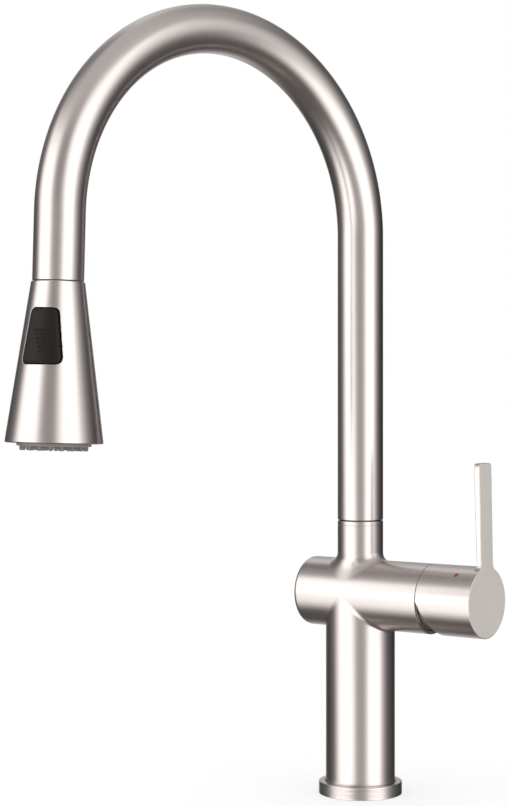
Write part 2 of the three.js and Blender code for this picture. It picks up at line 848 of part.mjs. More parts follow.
function diverterSpool() {
  const body = rod(spool.radius, spool.from, spool.to, PIN_SIDES);
  const groove = ring(1.2, 4, pinAt - 1.3, pinAt + 1.3, PIN_SIDES);
  return cut(body, groove).translate(spool.x, 0, 0);
}

function modeButton() {
  const outside = cone(button.proud, button.top - 3, button.foot + 3);
  const skin = cut(outside, cone(-button.backing, button.top - 4, button.foot + 4));
  const cap = common(skin, buttonPrism(0));
  const barrel = alongY(rod(lug.radius, -lug.half, lug.half, PIN_SIDES), pinX, pinAt);
  const webZ = [pinAt - lug.radius, pinAt + lug.radius];
  const web = box([pinX, 17.2], [-lug.half, lug.half], webZ);
  const finger = box([fingerTip, pinX], [-1.2, 1.2], [pinAt - 1, pinAt + 1]);
  return cut(join(cap, barrel, web, finger), buttonPinHole());
}

const NOZZLE_ROWS = [
  { radius: 9.6, count: 8 },
  { radius: 13.6, count: 12 },
  { radius: 17.6, count: 18 },
];
const nozzle = { radius: 1.1, room: 1.4, sides: 6 };
const faceHole = 6.3; // for the stream in the middle
const mat = { outer: 19, from: faceDepth - 5, to: faceDepth - 2.3 };

function nozzlePlaces() {
  const places = [];
  for (const row of NOZZLE_ROWS) {
    for (let i = 0; i < row.count; i += 1) {
      const angle = (2 * Math.PI * i) / row.count;
      places.push([row.radius * Math.cos(angle), row.radius * Math.sin(angle)]);
    }
  }
  return places;
}

function atNozzles(radius, from, to) {
  const rods = [];
  for (const [x, y] of nozzlePlaces()) {
    rods.push(rod(radius, from, to, nozzle.sides).translate(x, y, 0));
  }
  return rods;
}

function nozzlePlate() {
  const cupInner = faceInsertRadius - faceInsertWall;
  const plateBack = faceDepth - 2;
  const edge = 0.3;
  const cup = turned([
    [0, plateBack],
    [cupInner, plateBack],
    [cupInner, core.foot + 1],
    [faceInsertRadius, core.foot + 1],
    [faceInsertRadius, faceDepth - edge],
    [faceInsertRadius - edge, faceDepth],
    [0, faceDepth],
  ]);
  const middle = rod(faceHole, faceDepth - 3, faceDepth + 1, SMALL_SIDES);
  return cut(cup, middle, ...atNozzles(nozzle.room, faceDepth - 3, faceDepth + 1));
}

function nozzleMat() {
  const sheet = ring(faceHole + GAP, mat.outer, mat.from, mat.to, HIDDEN_SIDES);
  return join(sheet, ...atNozzles(nozzle.radius, mat.from + 1, faceDepth + nozzleReach));
}

const ferrule = { outer: 7.4, from: -18, to: -5 };
const hoseNut = { corner: 7, bore: 3.5, from: -3.7, to: 11.7 };
const filterOuter = 6.8; // round pieces held in the core's inlet

function addHoseEnd(head) {
  const hoseEnd = rod(hoseRadius, -hoseSplit, hoseNut.from - GAP, HOSE_SIDES);
  addPart(head, "spray_hose_end", hoseEnd, "braid");
  const sleeve = ring(hoseRadius + GAP, ferrule.outer, ferrule.from, ferrule.to, SMALL_SIDES);
  addPart(head, "hose_ferrule", sleeve, "steel");
  const hexagon = rod(hoseNut.corner, hoseNut.from, hoseNut.to, 6);
  const bore = rod(hoseNut.bore, hoseNut.from - 1, hoseNut.to + 1, PIN_SIDES);
  addPart(head, "hose_nut", cut(hexagon, bore), "brass");
}

function addHeadWaterway(head) {
  const washer = ring(3, filterOuter - 0.2, 12, 13.5, SMALL_SIDES);
  addPart(head, "head_washer", washer, "rubber");
  addPart(head, "inlet_filter", ring(1.2, filterOuter, 13.8, 14.8, SMALL_SIDES), "steel");
  addPart(head, "check_valve", ring(2.2, filterOuter, 15.1, 20.7, SMALL_SIDES), "whitePolymer");
  addPart(head, "head_core", headCore(), "polymer");
  addPart(head, "diverter_spool", diverterSpool(), "whitePolymer");
}

function addSprayFace(head) {
  addPart(head, "nozzle_plate", nozzlePlate(), "polymer");
  addPart(head, "nozzle_mat", nozzleMat(), "whitePolymer");
  const aerator = ring(2, faceHole - 0.4, 78, faceDepth - 0.5, SMALL_SIDES);
  addPart(head, "aerator", aerator, "darkPolymer");
  const faceRing = ring(faceInsertRadius + 0.4, 24.1, 83, headLength - 0.4);
  addPart(head, "face_ring", faceRing, "darkPolymer");
}

function addHeadShell(head) {
  addPart(head, "spray_shell", sprayShell(), "nickel");
  addPart(head, "dock_plug", dockPlug(), "darkPolymer");
  addPart(head, "mode_button", modeButton(), "rubber");
  const pinHalf = 7.2;
  const pin = rod(pinRadius, -pinHalf, pinHalf, PIN_SIDES);
  addPart(head, "button_pin", alongY(pin, pinX, pinAt), "steel");
}

// The group whose origin is the end of the spout tube and whose +Z runs down the outlet's axis.
function headGroup() {
  const path = new GooseneckPath(spoutFootZ, outletLeg, 1);
  const down = path.getTangent(1);
  const buttonSide = new THREE.Vector3(Math.sin(headTurn), -Math.cos(headTurn), 0);
  buttonSide.addScaledVector(down, -buttonSide.dot(down)).normalize();
  const across = new THREE.Vector3().crossVectors(down, buttonSide);
  const head = new THREE.Group();
  head.position.copy(path.getPoint(1));
  head.setRotationFromMatrix(new THREE.Matrix4().makeBasis(buttonSide, across, down));
  return head;
}

// ---------------------------------------------------------------- the faucet

const faucet = new THREE.Group();
addBase(faucet);
addDeckClamp(faucet);
addBody(faucet);
addValveBase(faucet);
addValveMotion(faucet);
addLever(faucet);

const spout = new THREE.Group();
spout.rotation.z = spoutTurn;
addSpout(spout);
faucet.add(spout);

const head = headGroup();
const dockCollar = ring(collarInner, insideTube, -26, -1, HIDDEN_SIDES);
addPart(head, "dock_collar", dockCollar, "darkPolymer");
addHoseEnd(head);
addHeadWaterway(head);
addSprayFace(head);
addHeadShell(head);
spout.add(head);

export default faucet;
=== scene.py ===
import math

import bpy
import numpy as np
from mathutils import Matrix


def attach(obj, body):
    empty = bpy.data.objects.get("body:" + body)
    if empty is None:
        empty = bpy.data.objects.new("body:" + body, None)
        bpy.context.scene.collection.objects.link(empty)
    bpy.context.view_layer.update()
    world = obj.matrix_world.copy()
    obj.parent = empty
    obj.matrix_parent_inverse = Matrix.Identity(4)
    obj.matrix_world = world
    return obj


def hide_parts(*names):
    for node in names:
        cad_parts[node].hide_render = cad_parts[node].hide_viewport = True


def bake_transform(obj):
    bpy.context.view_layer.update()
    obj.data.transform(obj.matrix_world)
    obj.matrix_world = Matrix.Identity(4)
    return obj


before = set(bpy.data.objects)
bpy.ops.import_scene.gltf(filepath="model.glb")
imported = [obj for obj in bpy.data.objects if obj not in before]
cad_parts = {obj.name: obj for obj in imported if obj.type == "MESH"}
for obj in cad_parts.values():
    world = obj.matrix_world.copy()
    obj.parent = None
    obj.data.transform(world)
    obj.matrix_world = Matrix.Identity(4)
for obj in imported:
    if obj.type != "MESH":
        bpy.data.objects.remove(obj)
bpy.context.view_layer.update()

# Lengths are millimetres here and become metres where a mesh is made.
MM = 0.001

# --- dimensions

COLUMN_R = 21.2
TUBE_R = 14.0
TUBE_BORE = 12.8
NECK_BORE = 12.2
INSERT_R = 11.8
INSIDE_TUBE = 12.4
FLANGE_R = 25.5
FLANGE_TOP = 7.6
COLUMN_FOOT = 6.3
CROSS_Z = 122.5
CROSS_LEFT = -36.3
CROSS_END = 52.7
PIVOT_X = 52.75
LEVER_START = 52.98
SEAM_EDGE = 0.12
LEVER_FACE = 90.1
PADDLE_TOP = 205.0
LOWER_ORING_Z = 146.8
CLIP_Z = 151.25
UPPER_ORING_Z = 155.2
GROOVE_HALF = 0.95
NECK_TOP = 167.5
SPOUT_FOOT = 168.1
RISER_TOP = 341.4
BEND_R = 114.5
SWEEP = math.radians(178.2)
OUTLET_LEG = 37.9
SPOUT_TURN = math.radians(-10.86)
HEAD_TURN = math.radians(27.8)
HEAD_LENGTH = 87.3
HEAD_TOP_R = 14.5
HEAD_RIM_R = 26.7
HOSE_R = 6.0
HOSE_FOOT = -58.0
HOSE_SPLIT = 36.0
FACE_DEPTH = 88.9

# --- camera

CAMERA_TURN = math.radians(37.15)
CAMERA_PLACE = (0.6949, -1.0256, 0.2545)
CAMERA_LENS = 89.75
CAMERA_SHIFT = -0.02995


def add_camera():
    data = bpy.data.cameras.new("camera")
    data.lens = CAMERA_LENS
    data.sensor_width = 36
    data.shift_y = CAMERA_SHIFT
    camera = bpy.data.objects.new("camera", data)
    camera.location = CAMERA_PLACE
    camera.rotation_euler = (math.radians(90), 0, CAMERA_TURN)
    bpy.context.scene.collection.objects.link(camera)
    bpy.context.scene.camera = camera


add_camera()

# --- shader helpers


class Nodes:
    """Adds nodes to one tree; a socket's value is given as a number, a tuple or another node's output."""

    def __init__(self, tree):
        self.tree = tree
        tree.nodes.clear()

    def add(self, kind, inputs=None, **settings):
        node = self.tree.nodes.new(kind)
        for name, value in settings.items():
            setattr(node, name, value)
        for name, value in (inputs or {}).items():
            self.feed(node.inputs[name], value)
        return node

    def feed(self, socket, value):
        if isinstance(value, bpy.types.NodeSocket):
            self.tree.links.new(value, socket)
        else:
            socket.default_value = value

    def math(self, operation, first, second=0.0, third=0.0):
        node = self.add("ShaderNodeMath", operation=operation)
        for socket, value in zip(node.inputs, (first, second, third)):
            self.feed(socket, value)
        return node.outputs[0]

    def dot(self, vector, constant):
        node = self.add("ShaderNodeVectorMath", operation="DOT_PRODUCT")
        self.feed(node.inputs[0], vector)
        node.inputs[1].default_value = constant
        return node.outputs["Value"]

    def scaled(self, vector, factors):
        node = self.add("ShaderNodeVectorMath", operation="MULTIPLY")
        self.feed(node.inputs[0], vector)
        node.inputs[1].default_value = factors
        return node.outputs["Vector"]

    def span(self, value, low, high, to_low=0.0, to_high=1.0, smooth=False):
        kind = "SMOOTHSTEP" if smooth else "LINEAR"
        node = self.add("ShaderNodeMapRange", interpolation_type=kind)
        for name, number in (("From Min", low), ("From Max", high), ("To Min", to_low), ("To Max", to_high)):
            node.inputs[name].default_value = number
        self.feed(node.inputs["Value"], value)
        return node.outputs["Result"]

    def mix(self, factor, first, second):
        node = self.add("ShaderNodeMix", data_type="RGBA")
        self.feed(node.inputs[0], factor)
        self.feed(node.inputs[6], first)
        self.feed(node.inputs[7], second)
        return node.outputs[2]

    def ramp(self, value, stops, interpolation="LINEAR"):
        node = self.add("ShaderNodeValToRGB")
        node.color_ramp.interpolation = interpolation
        elements = node.color_ramp.elements
        while len(elements) < len(stops):
            elements.new(0.5)
        for element, (position, colour) in zip(elements, stops):
            element.position = position
            element.color = (*colour, 1)
        self.feed(node.inputs["Fac"], value)
        return node.outputs["Color"]

    def noise(self, vector, scale, detail=3.0, roughness=0.5):
        settings = {"Vector": vector, "Scale": scale, "Detail": detail, "Roughness": roughness}
        return self.add("ShaderNodeTexNoise", settings).outputs["Fac"]

    def bump(self, height, strength, distance):
        inputs = {"Height": height, "Strength": strength, "Distance": distance}
        return self.add("ShaderNodeBump", inputs).outputs["Normal"]

    def attribute(self, name):
        return self.add("ShaderNodeAttribute", attribute_name=name).outputs["Vector"]


def new_material(name):
    material = bpy.data.materials.new(name)
    material.use_nodes = True
    nodes = Nodes(material.node_tree)
    shader = nodes.add("ShaderNodeBsdfPrincipled")
    output = nodes.add("ShaderNodeOutputMaterial")
    nodes.feed(output.inputs["Surface"], shader.outputs[0])
    return material, nodes, shader.inputs


# --- finishes

# "brush" holds the distance across the brush lines in mm, then two slow coordinates along them.
# "across" is the direction across the brush lines, in the piece's own space. "satin" is 1 on flat faces
# with a coarser finish.


def brushed_nickel():
    material, nodes, shader = new_material("brushed_nickel")
    brush = nodes.attribute("brush")
    fine = nodes.noise(nodes.scaled(brush, (9.0, 3.0, 3.0)), 1.0, 4.0, 0.65)
    broad = nodes.noise(nodes.scaled(brush, (1.1, 0.8, 0.8)), 1.0, 3.0, 0.55)
    place = nodes.add("ShaderNodeTexCoord").outputs["Object"]
    cloud = nodes.noise(place, 22.0, 3.0, 0.5)
    lines = nodes.math("MULTIPLY_ADD", fine, 0.7, nodes.math("MULTIPLY", broad, 0.3))
    tone = nodes.span(lines, 0.3, 0.7)
    satin = nodes.add("ShaderNodeAttribute", attribute_name="satin").outputs["Fac"]
    turned = nodes.mix(tone, (0.665, 0.602, 0.577, 1), (0.705, 0.642, 0.617, 1))
    flat = nodes.mix(tone, (0.8, 0.75, 0.712, 1), (0.84, 0.79, 0.752, 1))
    nodes.feed(shader["Base Color"], nodes.mix(satin, turned, flat))
    rough = nodes.span(lines, 0.25, 0.75, 0.275, 0.325)
    drift = nodes.span(cloud, 0.3, 0.7, -0.015, 0.015)
    rougher = nodes.math("MULTIPLY", satin, 0.32)
    nodes.feed(shader["Roughness"], nodes.math("ADD", rough, nodes.math("ADD", drift, rougher)))
    shader["Metallic"].default_value = 1
    shader["Anisotropic"].default_value = 0.4
    settings = {"vector_type": "VECTOR", "convert_from": "OBJECT", "convert_to": "WORLD"}
    tangent = nodes.add("ShaderNodeVectorTransform", {"Vector": nodes.attribute("across")}, **settings)
    nodes.feed(shader["Tangent"], tangent.outputs[0])
    nodes.feed(shader["Normal"], nodes.bump(fine, 0.045, 0.00003))
    return material


def machined(name, low, high, roughness):
    """Turned metal with faint tool rings; pieces without brush lines show only the cloudy tone."""
    material, nodes, shader = new_material(name)
    rings = nodes.noise(nodes.scaled(nodes.attribute("brush"), (4.0, 0.4, 0.4)), 1.0, 4.0, 0.6)
    place = nodes.add("ShaderNodeTexCoord").outputs["Object"]
    cloud = nodes.noise(place, 160.0, 4.0, 0.6)
    tone = nodes.span(nodes.math("ADD", rings, cloud), 0.7, 1.3)
    nodes.feed(shader["Base Color"], nodes.mix(tone, (*low, 1), (*high, 1)))
    nodes.feed(shader["Roughness"], nodes.span(cloud, 0.3, 0.7, roughness - 0.06, roughness + 0.08))
    shader["Metallic"].default_value = 1
    nodes.feed(shader["Normal"], nodes.bump(rings, 0.12, 0.00005))
    return material


def moulded(name, low, high, roughness, grain=900.0, depth=0.1, coat=0.0, gloss=0.5):
    """Moulded plastic, rubber, ceramic or enamel: a fine surface grain and a slight change of tone."""
    material, nodes, shader = new_material(name)
    place = nodes.add("ShaderNodeTexCoord").outputs["Object"]
    cloud = nodes.noise(place, 70.0, 4.0, 0.55)
    speck = nodes.noise(place, grain, 2.0, 0.5)
    nodes.feed(shader["Base Color"], nodes.mix(nodes.span(cloud, 0.3, 0.7), (*low, 1), (*high, 1)))
    nodes.feed(shader["Roughness"], nodes.span(speck, 0.3, 0.7, roughness - 0.05, roughness + 0.07))
    shader["Coat Weight"].default_value = coat
    shader["Specular IOR Level"].default_value = gloss
    nodes.feed(shader["Normal"], nodes.bump(speck, depth, 0.00008))
    return material


def woven(name, along, around):
    """Nylon braid: strands that cross both ways round the hose, over and under each other, with painted
    shade: a strand is darker where it passes under and lighter where it lies over.
    """
    material, nodes, shader = new_material(name)
    along_mm, turn = along(nodes), around(nodes)
    strands = 12.0
    pitch = 5.2
    climb = nodes.math("MULTIPLY", along_mm, 2 * math.pi / pitch)
    swing = nodes.math("MULTIPLY", turn, strands / 2)
    right = nodes.math("SINE", nodes.math("ADD", climb, swing))
    left = nodes.math("SINE", nodes.math("SUBTRACT", climb, swing))
    lit_over_shaded_under = nodes.span(nodes.math("MULTIPLY", right, left), -0.6, 0.6, smooth=True)
    ridge = nodes.math("MAXIMUM", nodes.math("ABSOLUTE", right), nodes.math("ABSOLUTE", left))
    weave = nodes.math("MULTIPLY", nodes.math("ADD", climb, swing), 5.0)
    threads = nodes.math("ABSOLUTE", nodes.math("SINE", weave))
    height = nodes.math("ADD", ridge, nodes.math("MULTIPLY", threads, 0.25))
    # painted shade: the same strand colour is darker where it passes under and lighter where it lies over
    nodes.feed(shader["Base Color"], nodes.mix(lit_over_shaded_under, (0.055, 0.056, 0.058, 1), (0.21, 0.212, 0.215, 1)))
    nodes.feed(shader["Roughness"], nodes.span(threads, 0.0, 1.0, 0.62, 0.42))
    nodes.feed(shader["Normal"], nodes.bump(height, 0.7, 0.0004))
    return material


def brush_parts(nodes):
    return nodes.add("ShaderNodeSeparateXYZ", {"Vector": nodes.attribute("brush")}).outputs


def brush_along(nodes):
    return brush_parts(nodes)[0]


def brush_turn(nodes):
    parts = brush_parts(nodes)
    return nodes.math("ARCTAN2", parts[2], parts[1])


def height_in_mm(nodes):
    place = nodes.add("ShaderNodeNewGeometry").outputs["Position"]
    return nodes.math("MULTIPLY", nodes.dot(place, (0, 0, 1)), 1000.0)


def normal_turn(nodes):
    normal = nodes.add("ShaderNodeNewGeometry").outputs["True Normal"]
    return nodes.math("ARCTAN2", nodes.dot(normal, (0, 1, 0)), nodes.dot(normal, (1, 0, 0)))


NICKEL = brushed_nickel()
BRASS = machined("machined_brass", (0.56, 0.4, 0.17), (0.72, 0.55, 0.27), 0.3)
STEEL = machined("stainless_steel", (0.46, 0.46, 0.45), (0.62, 0.62, 0.61), 0.27)
CERAMIC = moulded("alumina_ceramic", (0.78, 0.76, 0.7), (0.86, 0.84, 0.79), 0.16, 500, 0.02, 0.2)
RUBBER = moulded("black_rubber", (0.012, 0.012, 0.012), (0.022, 0.021, 0.02), 0.66, 1400, 0.25)
POLYMER = moulded("grey_polymer", (0.27, 0.245, 0.225), (0.32, 0.29, 0.27), 0.3, 1200, 0.08)
WHITE_POLYMER = moulded("white_polymer", (0.66, 0.65, 0.61), (0.74, 0.73, 0.69), 0.36, 1000, 0.08)
DARK_POLYMER = moulded("dark_polymer", (0.02, 0.018, 0.017), (0.032, 0.029, 0.027), 0.34, 1200, 0.1)
SILICONE = moulded("grey_silicone", (0.115, 0.112, 0.108), (0.15, 0.146, 0.14), 0.24, 1500, 0.1, 0.6, 0.8)
SOFT_BUTTON = moulded(
    "soft_button", (0.0085, 0.0072, 0.005), (0.013, 0.011, 0.008), 0.42, 1600, 0.2, gloss=0.22
)
RED = moulded("red_enamel", (0.24, 0.016, 0.014), (0.28, 0.022, 0.018), 0.25, 700, 0.03, 0.3)
BLUE = moulded("blue_enamel", (0.018, 0.06, 0.42), (0.026, 0.08, 0.5), 0.2, 700, 0.03, 0.5)
BRAID = woven("hose_braid", brush_along, brush_turn)
BRAID_END = woven("hose_braid_end", height_in_mm, normal_turn)

# --- frames and paths


def placed(x_axis, y_axis, z_axis, origin):
    matrix = np.eye(4)
    matrix[:3, 0], matrix[:3, 1], matrix[:3, 2], matrix[:3, 3] = x_axis, y_axis, z_axis, origin
    return matrix


def turned_about_z(angle):
    c, s = math.cos(angle), math.sin(angle)
    return placed((c, s, 0), (-s, c, 0), (0, 0, 1), (0, 0, 0))


def gooseneck(distance, foot):
    """Point and direction on the spout's centre line, at a distance from its foot, in the spout's frame."""
    riser = RISER_TOP - foot
    turn = min(max((distance - riser) / BEND_R, 0), SWEEP)
    drop = max(distance - riser - BEND_R * SWEEP, 0)
    reach = BEND_R * (1 - math.cos(turn)) + drop * math.sin(turn)
    height = foot + min(distance, riser) + BEND_R * math.sin(turn) + drop * math.cos(turn)
    return np.array((0, -reach, height)), np.array((0, -math.sin(turn), math.cos(turn)))


def gooseneck_length(foot, leg):
    return RISER_TOP - foot + BEND_R * SWEEP + leg


def head_frame():
    end, down = gooseneck(gooseneck_length(SPOUT_FOOT, OUTLET_LEG), SPOUT_FOOT)
    button_side = np.array((math.sin(HEAD_TURN), -math.cos(HEAD_TURN), 0))
    button_side -= down * button_side.dot(down)
    button_side /= np.linalg.norm(button_side)
    return placed(button_side, np.cross(down, button_side), down, end)


STAND = np.eye(4)
SPOUT = turned_about_z(SPOUT_TURN)
HEAD = SPOUT @ head_frame()
CROSS = placed((0, 0, -1), (0, 1, 0), (1, 0, 0), (0, 0, CROSS_Z))

# --- making a piece


def add_piece(name, points, faces, finish, body, place=STAND, normals=None, corner_normals=None,
              brush=None, across=None, satin=None, stands_for=()):
    """A mesh from points in mm in the given frame; it rides on the body and takes the place of CAD nodes."""
    mesh = bpy.data.meshes.new(name)
    turn, origin = place[:3, :3], place[:3, 3]
    mesh.from_pydata(((points @ turn.T + origin) * MM).tolist(), [], faces)
    mesh.polygons.foreach_set("use_smooth", np.ones(len(mesh.polygons), bool))
    if normals is not None:
        mesh.normals_split_custom_set_from_vertices((normals @ turn.T).tolist())
    if corner_normals is not None:
        mesh.normals_split_custom_set((corner_normals @ turn.T).tolist())
    if brush is None:
        brush = points
    if across is None:
        across = np.tile((0.0, 0.0, 1.0), (len(points), 1))
    for label, values in (("brush", brush), ("across", across @ turn.T)):
        attribute = mesh.attributes.new(label, "FLOAT_VECTOR", "POINT")
        attribute.data.foreach_set("vector", np.ascontiguousarray(values, np.float32).ravel())
    if satin is not None:
        mesh.attributes.new("satin", "FLOAT", "POINT").data.foreach_set("value", satin.astype(np.float32))
    mesh.materials.append(finish)
    made = bpy.data.objects.new(name, mesh)
    bpy.context.scene.collection.objects.link(made)
    if body:
        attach(made, body)
    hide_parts(*stands_for)
    return made


def add_shape(name, shape, finish, body, place=STAND):
    return add_piece(f"{name}_look", finish=finish, body=body, place=place, stands_for=(name,), **shape)


# --- turned pieces

ON_AXIS = 1e-6
ARC_STEP = 0.22


def softened(outline, radius):
    """The closed outline with its corners rounded: (point, normal before, normal after) for every point.
    It runs anticlockwise in (radius, height); a corner may carry its own radius as a third number."""
    corners = [(np.array(point[:2], float), point[2] if len(point) > 2 else radius) for point in outline]
    stations = []
    for index, (here, round_by) in enumerate(corners):
        before = here - corners[index - 1][0]
        after = corners[(index + 1) % len(corners)][0] - here
        reach = 0.45 * min(np.linalg.norm(before), np.linalg.norm(after))
        before, after = before / np.linalg.norm(before), after / np.linalg.norm(after)
        normal_in, normal_out = (before[1], -before[0]), (after[1], -after[0])
        turn = math.atan2(before[0] * after[1] - before[1] * after[0], before.dot(after))
        if round_by <= 0 or abs(turn) < 0.02 or here[0] < ON_AXIS:
            stations.append((here, normal_in, normal_out))
            continue
        setback = min(round_by * abs(math.tan(turn / 2)), reach)
        bend = setback / abs(math.tan(turn / 2)) * math.copysign(1, turn)
        centre = here - before * setback - np.array(normal_in) * bend
        first = math.atan2(normal_in[1], normal_in[0])
        steps = max(3, math.ceil(abs(turn) / ARC_STEP))
        for step in range(steps + 1):
            angle = first + turn * step / steps
            normal = (math.cos(angle), math.sin(angle))
            stations.append((centre + np.array(normal) * bend, normal, normal))
    return stations


def divided(stations, longest):
    """Long edges split so that no step is longer than the given length."""
    result = []
    for index, (here, normal_in, normal_out) in enumerate(stations):
        result.append((here, normal_in, normal_out))
        there = stations[(index + 1) % len(stations)][0]
        count = math.ceil(np.linalg.norm(there - here) / longest)
        for step in range(1, count):
            result.append((here + (there - here) * step / count, normal_out, normal_out))
    return result


def straight(distance):
    return np.array((0, 0, distance)), np.array((0, 0, 1.0))


def quad(row, following, k, sides):
    n = (k + 1) % sides
    return row * sides + k, row * sides + n, following * sides + n, following * sides + k


def revolved(outline, radius=0.25, sides=96, path=straight, longest=1e9):
    """Turns the outline about the path; heights are distances along it. Returns the mesh's arrays."""
    stations = divided(softened(outline, radius), longest)
    side = np.array((1.0, 0.0, 0.0))
    angles = np.linspace(0, 2 * math.pi, sides, endpoint=False)
    cosines, sines = np.cos(angles)[:, None], np.sin(angles)[:, None]
    points, brush, across, turned = [], [], [], []
    travelled = 0.0
    for index, ((r, height), normal_in, normal_out) in enumerate(stations):
        origin, along = path(height)
        other = np.cross(along, side)
        outward = cosines * side + sines * other
        points.append(origin + r * outward)
        if index:
            travelled += np.linalg.norm(stations[index][0] - stations[index - 1][0])
        brush.append(np.hstack([np.full((sides, 1), travelled), cosines, sines]))
        across.append(outward * -normal_out[1] + along * normal_out[0])
        turned.append([outward * normal[0] + along * normal[1] for normal in (normal_in, normal_out)])
    faces, corners = [], []
    count = len(stations)
    for row in range(count):
        following = (row + 1) % count
        if stations[row][0][0] < ON_AXIS and stations[following][0][0] < ON_AXIS:
            continue
        low, high = turned[row][1], turned[following][0]
        for k in range(sides):
            n = (k + 1) % sides
            faces.append(quad(row, following, k, sides))
            corners += [low[k], low[n], high[n], high[k]]
    shape = {"points": np.vstack(points), "brush": np.vstack(brush), "across": np.vstack(across)}
    return merged(shape, faces, corners, stations, sides)


def merged(shape, faces, corner_normals, stations, sides):
    """Joins each ring that lies on the axis into one point."""
    keep = np.arange(len(shape["points"]))
    for row, (place, _, _) in enumerate(stations):
        if place[0] < ON_AXIS:
            keep[row * sides:(row + 1) * sides] = row * sides
    used, renumbered = np.unique(keep, return_inverse=True)
    clean_faces, clean_corners = [], []
    cursor = 0
    for face in faces:
        corners = [renumbered[i] for i in face]
        kept = [i for i, corner in enumerate(corners) if corner != corners[i - 1]]
        clean_faces.append(tuple(int(corners[i]) for i in kept))
        clean_corners += [corner_normals[cursor + i] for i in kept]
        cursor += len(face)
    kept_points = {name: values[used] for name, values in shape.items()}
    return {**kept_points, "faces": clean_faces, "corner_normals": np.array(clean_corners)}


def add_turned(name, outline, finish, body, place=STAND, radius=0.25, **shape):
    return add_shape(name, revolved(outline, radius, **shape), finish, body, place)


# --- shapes from a distance


def polygon(points):
    """Signed distance in the plane to a closed outline."""
    corners = np.array(points, float)

    def distance(u, v):
        best = np.full(u.shape, np.inf)
        inside = np.zeros(u.shape, bool)
        for (ax, ay), (bx, by) in zip(corners, np.roll(corners, -1, axis=0)):
            ex, ey = bx - ax, by - ay
            wx, wy = u - ax, v - ay
            t = np.clip((wx * ex + wy * ey) / (ex * ex + ey * ey), 0, 1)
            best = np.minimum(best, (wx - ex * t) ** 2 + (wy - ey * t) ** 2)
            if ay != by:
                inside ^= ((ay > v) != (by > v)) & (u < ex * (v - ay) / ey + ax)
        return np.where(inside, -1, 1) * np.sqrt(best)

    return distance


def round_join(a, b, radius):
    """Union with a fillet of the given radius."""
    reach = np.hypot(np.maximum(radius - a, 0), np.maximum(radius - b, 0))
    return np.maximum(radius, np.minimum(a, b)) - reach


def round_common(a, b, radius):
    """Intersection with a rounded edge of the given radius."""
    reach = np.hypot(np.maximum(radius + a, 0), np.maximum(radius + b, 0))
    return np.minimum(-radius, np.maximum(a, b)) + reach


def slab(w, low, high):
    return np.maximum(low - w, w - high)


def grid_lines(low, high, step, *finer):
    """Grid positions from low to high; (from, to, step) gives a finer step over a stretch."""
    places = [low]
    while places[-1] < high:
        here = places[-1]
        steps = [fine for start, stop, fine in finer if start - 1e-6 <= here < stop]
        ahead = [start - here for start, _, _ in finer if start > here + 1e-6]
        places.append(here + min([min(steps + [step])] + ahead))
    return np.array(places)


def slope(distance, points, h=0.004):
    parts = []
    for axis in range(3):
        shift = np.zeros(3)
        shift[axis] = h
        parts.append((distance(points + shift) - distance(points - shift)) / (2 * h))
    return np.stack(parts, axis=-1)


def skinned(distance, xs, ys, zs):
    """The surface where the distance is zero: points, four-sided faces and normals."""
    shape = (len(xs), len(ys), len(zs))
    grid = np.stack(np.meshgrid(xs, ys, zs, indexing="ij"), axis=-1)
    values = distance(grid.reshape(-1, 3)).reshape(shape)
    inside = values < 0
    cells = tuple(n - 1 for n in shape)
    total, count = np.zeros((*cells, 3)), np.zeros(cells)
    crossings = []
    for axis in range(3):
        low = tuple(slice(0, -1) if i == axis else slice(None) for i in range(3))
        high = tuple(slice(1, None) if i == axis else slice(None) for i in range(3))
        change = inside[low] != inside[high]
        with np.errstate(divide="ignore", invalid="ignore"):
            t = np.where(change, values[low] / (values[low] - values[high]), 0)
        meets = (grid[low] + (grid[high] - grid[low]) * t[..., None]) * change[..., None]
        a, b = [i for i in range(3) if i != axis]
        for da in (0, 1):
            for db in (0, 1):
                part = [slice(None)] * 3
                part[a], part[b] = slice(da, da + cells[a]), slice(db, db + cells[b])
                total += meets[tuple(part)]
                count += change[tuple(part)]
        crossings.append((change, a, b, inside[low]))
    # each crossed cell holds one point, the mean of the crossings on its edges
    used = count > 0
    number = np.full(cells, -1)
    number[used] = np.arange(used.sum())
    points = total[used] / count[used][:, None]
    faces = []
    for axis, (change, a, b, starts_inside) in enumerate(crossings):
        where = np.argwhere(change)
        outward = starts_inside[change]
        fits = (where[:, a] > 0) & (where[:, b] > 0) & (where[:, a] < cells[a]) & (where[:, b] < cells[b])
        where, outward = where[fits], outward[fits]
        around = []
        for da, db in ((-1, -1), (0, -1), (0, 0), (-1, 0)):
            cell = where.copy()
            cell[:, a] += da
            cell[:, b] += db
            around.append(number[tuple(cell.T)])
        quads = np.stack(around, axis=-1)
        forward = outward if axis != 1 else ~outward
        quads[~forward] = quads[~forward][:, ::-1]
        faces.append(quads)
    # the points then move along the slope onto the surface
    for _ in range(5):
        gradient = slope(distance, points)
        size = np.maximum((gradient ** 2).sum(axis=-1), 1e-6)
        move = -(distance(points) / size)[:, None] * gradient
        length = np.maximum(np.linalg.norm(move, axis=-1, keepdims=True), 1e-9)
        points = points + move * np.minimum(1, 0.3 / length)
    normals = slope(distance, points)
    normals /= np.maximum(np.linalg.norm(normals, axis=-1, keepdims=True), 1e-9)
    return {"points": points, "faces": np.vstack(faces).tolist(), "normals": normals}


def rings_about(points, normals, axis, centre=(0.0, 0.0, 0.0)):
    """Brush lines that run round an axis: distance across them, two slow coordinates, and the way across."""
    a, b = [i for i in range(3) if i != axis]
    u, v = points[:, a] - centre[a], points[:, b] - centre[b]
    radius = np.maximum(np.hypot(u, v), 1e-6)
    brush = np.stack([points[:, axis] + radius, u / radius, v / radius], axis=-1)
    around = np.zeros_like(points)
    around[:, a], around[:, b] = -v / radius, u / radius
    return brush, np.cross(around, normals)


def with_rings(skin):
    """The skinned shape with brush lines round its own Z axis."""
    brush, across = rings_about(skin["points"], skin["normals"], 2)
    return {**skin, "brush": brush, "across": across}


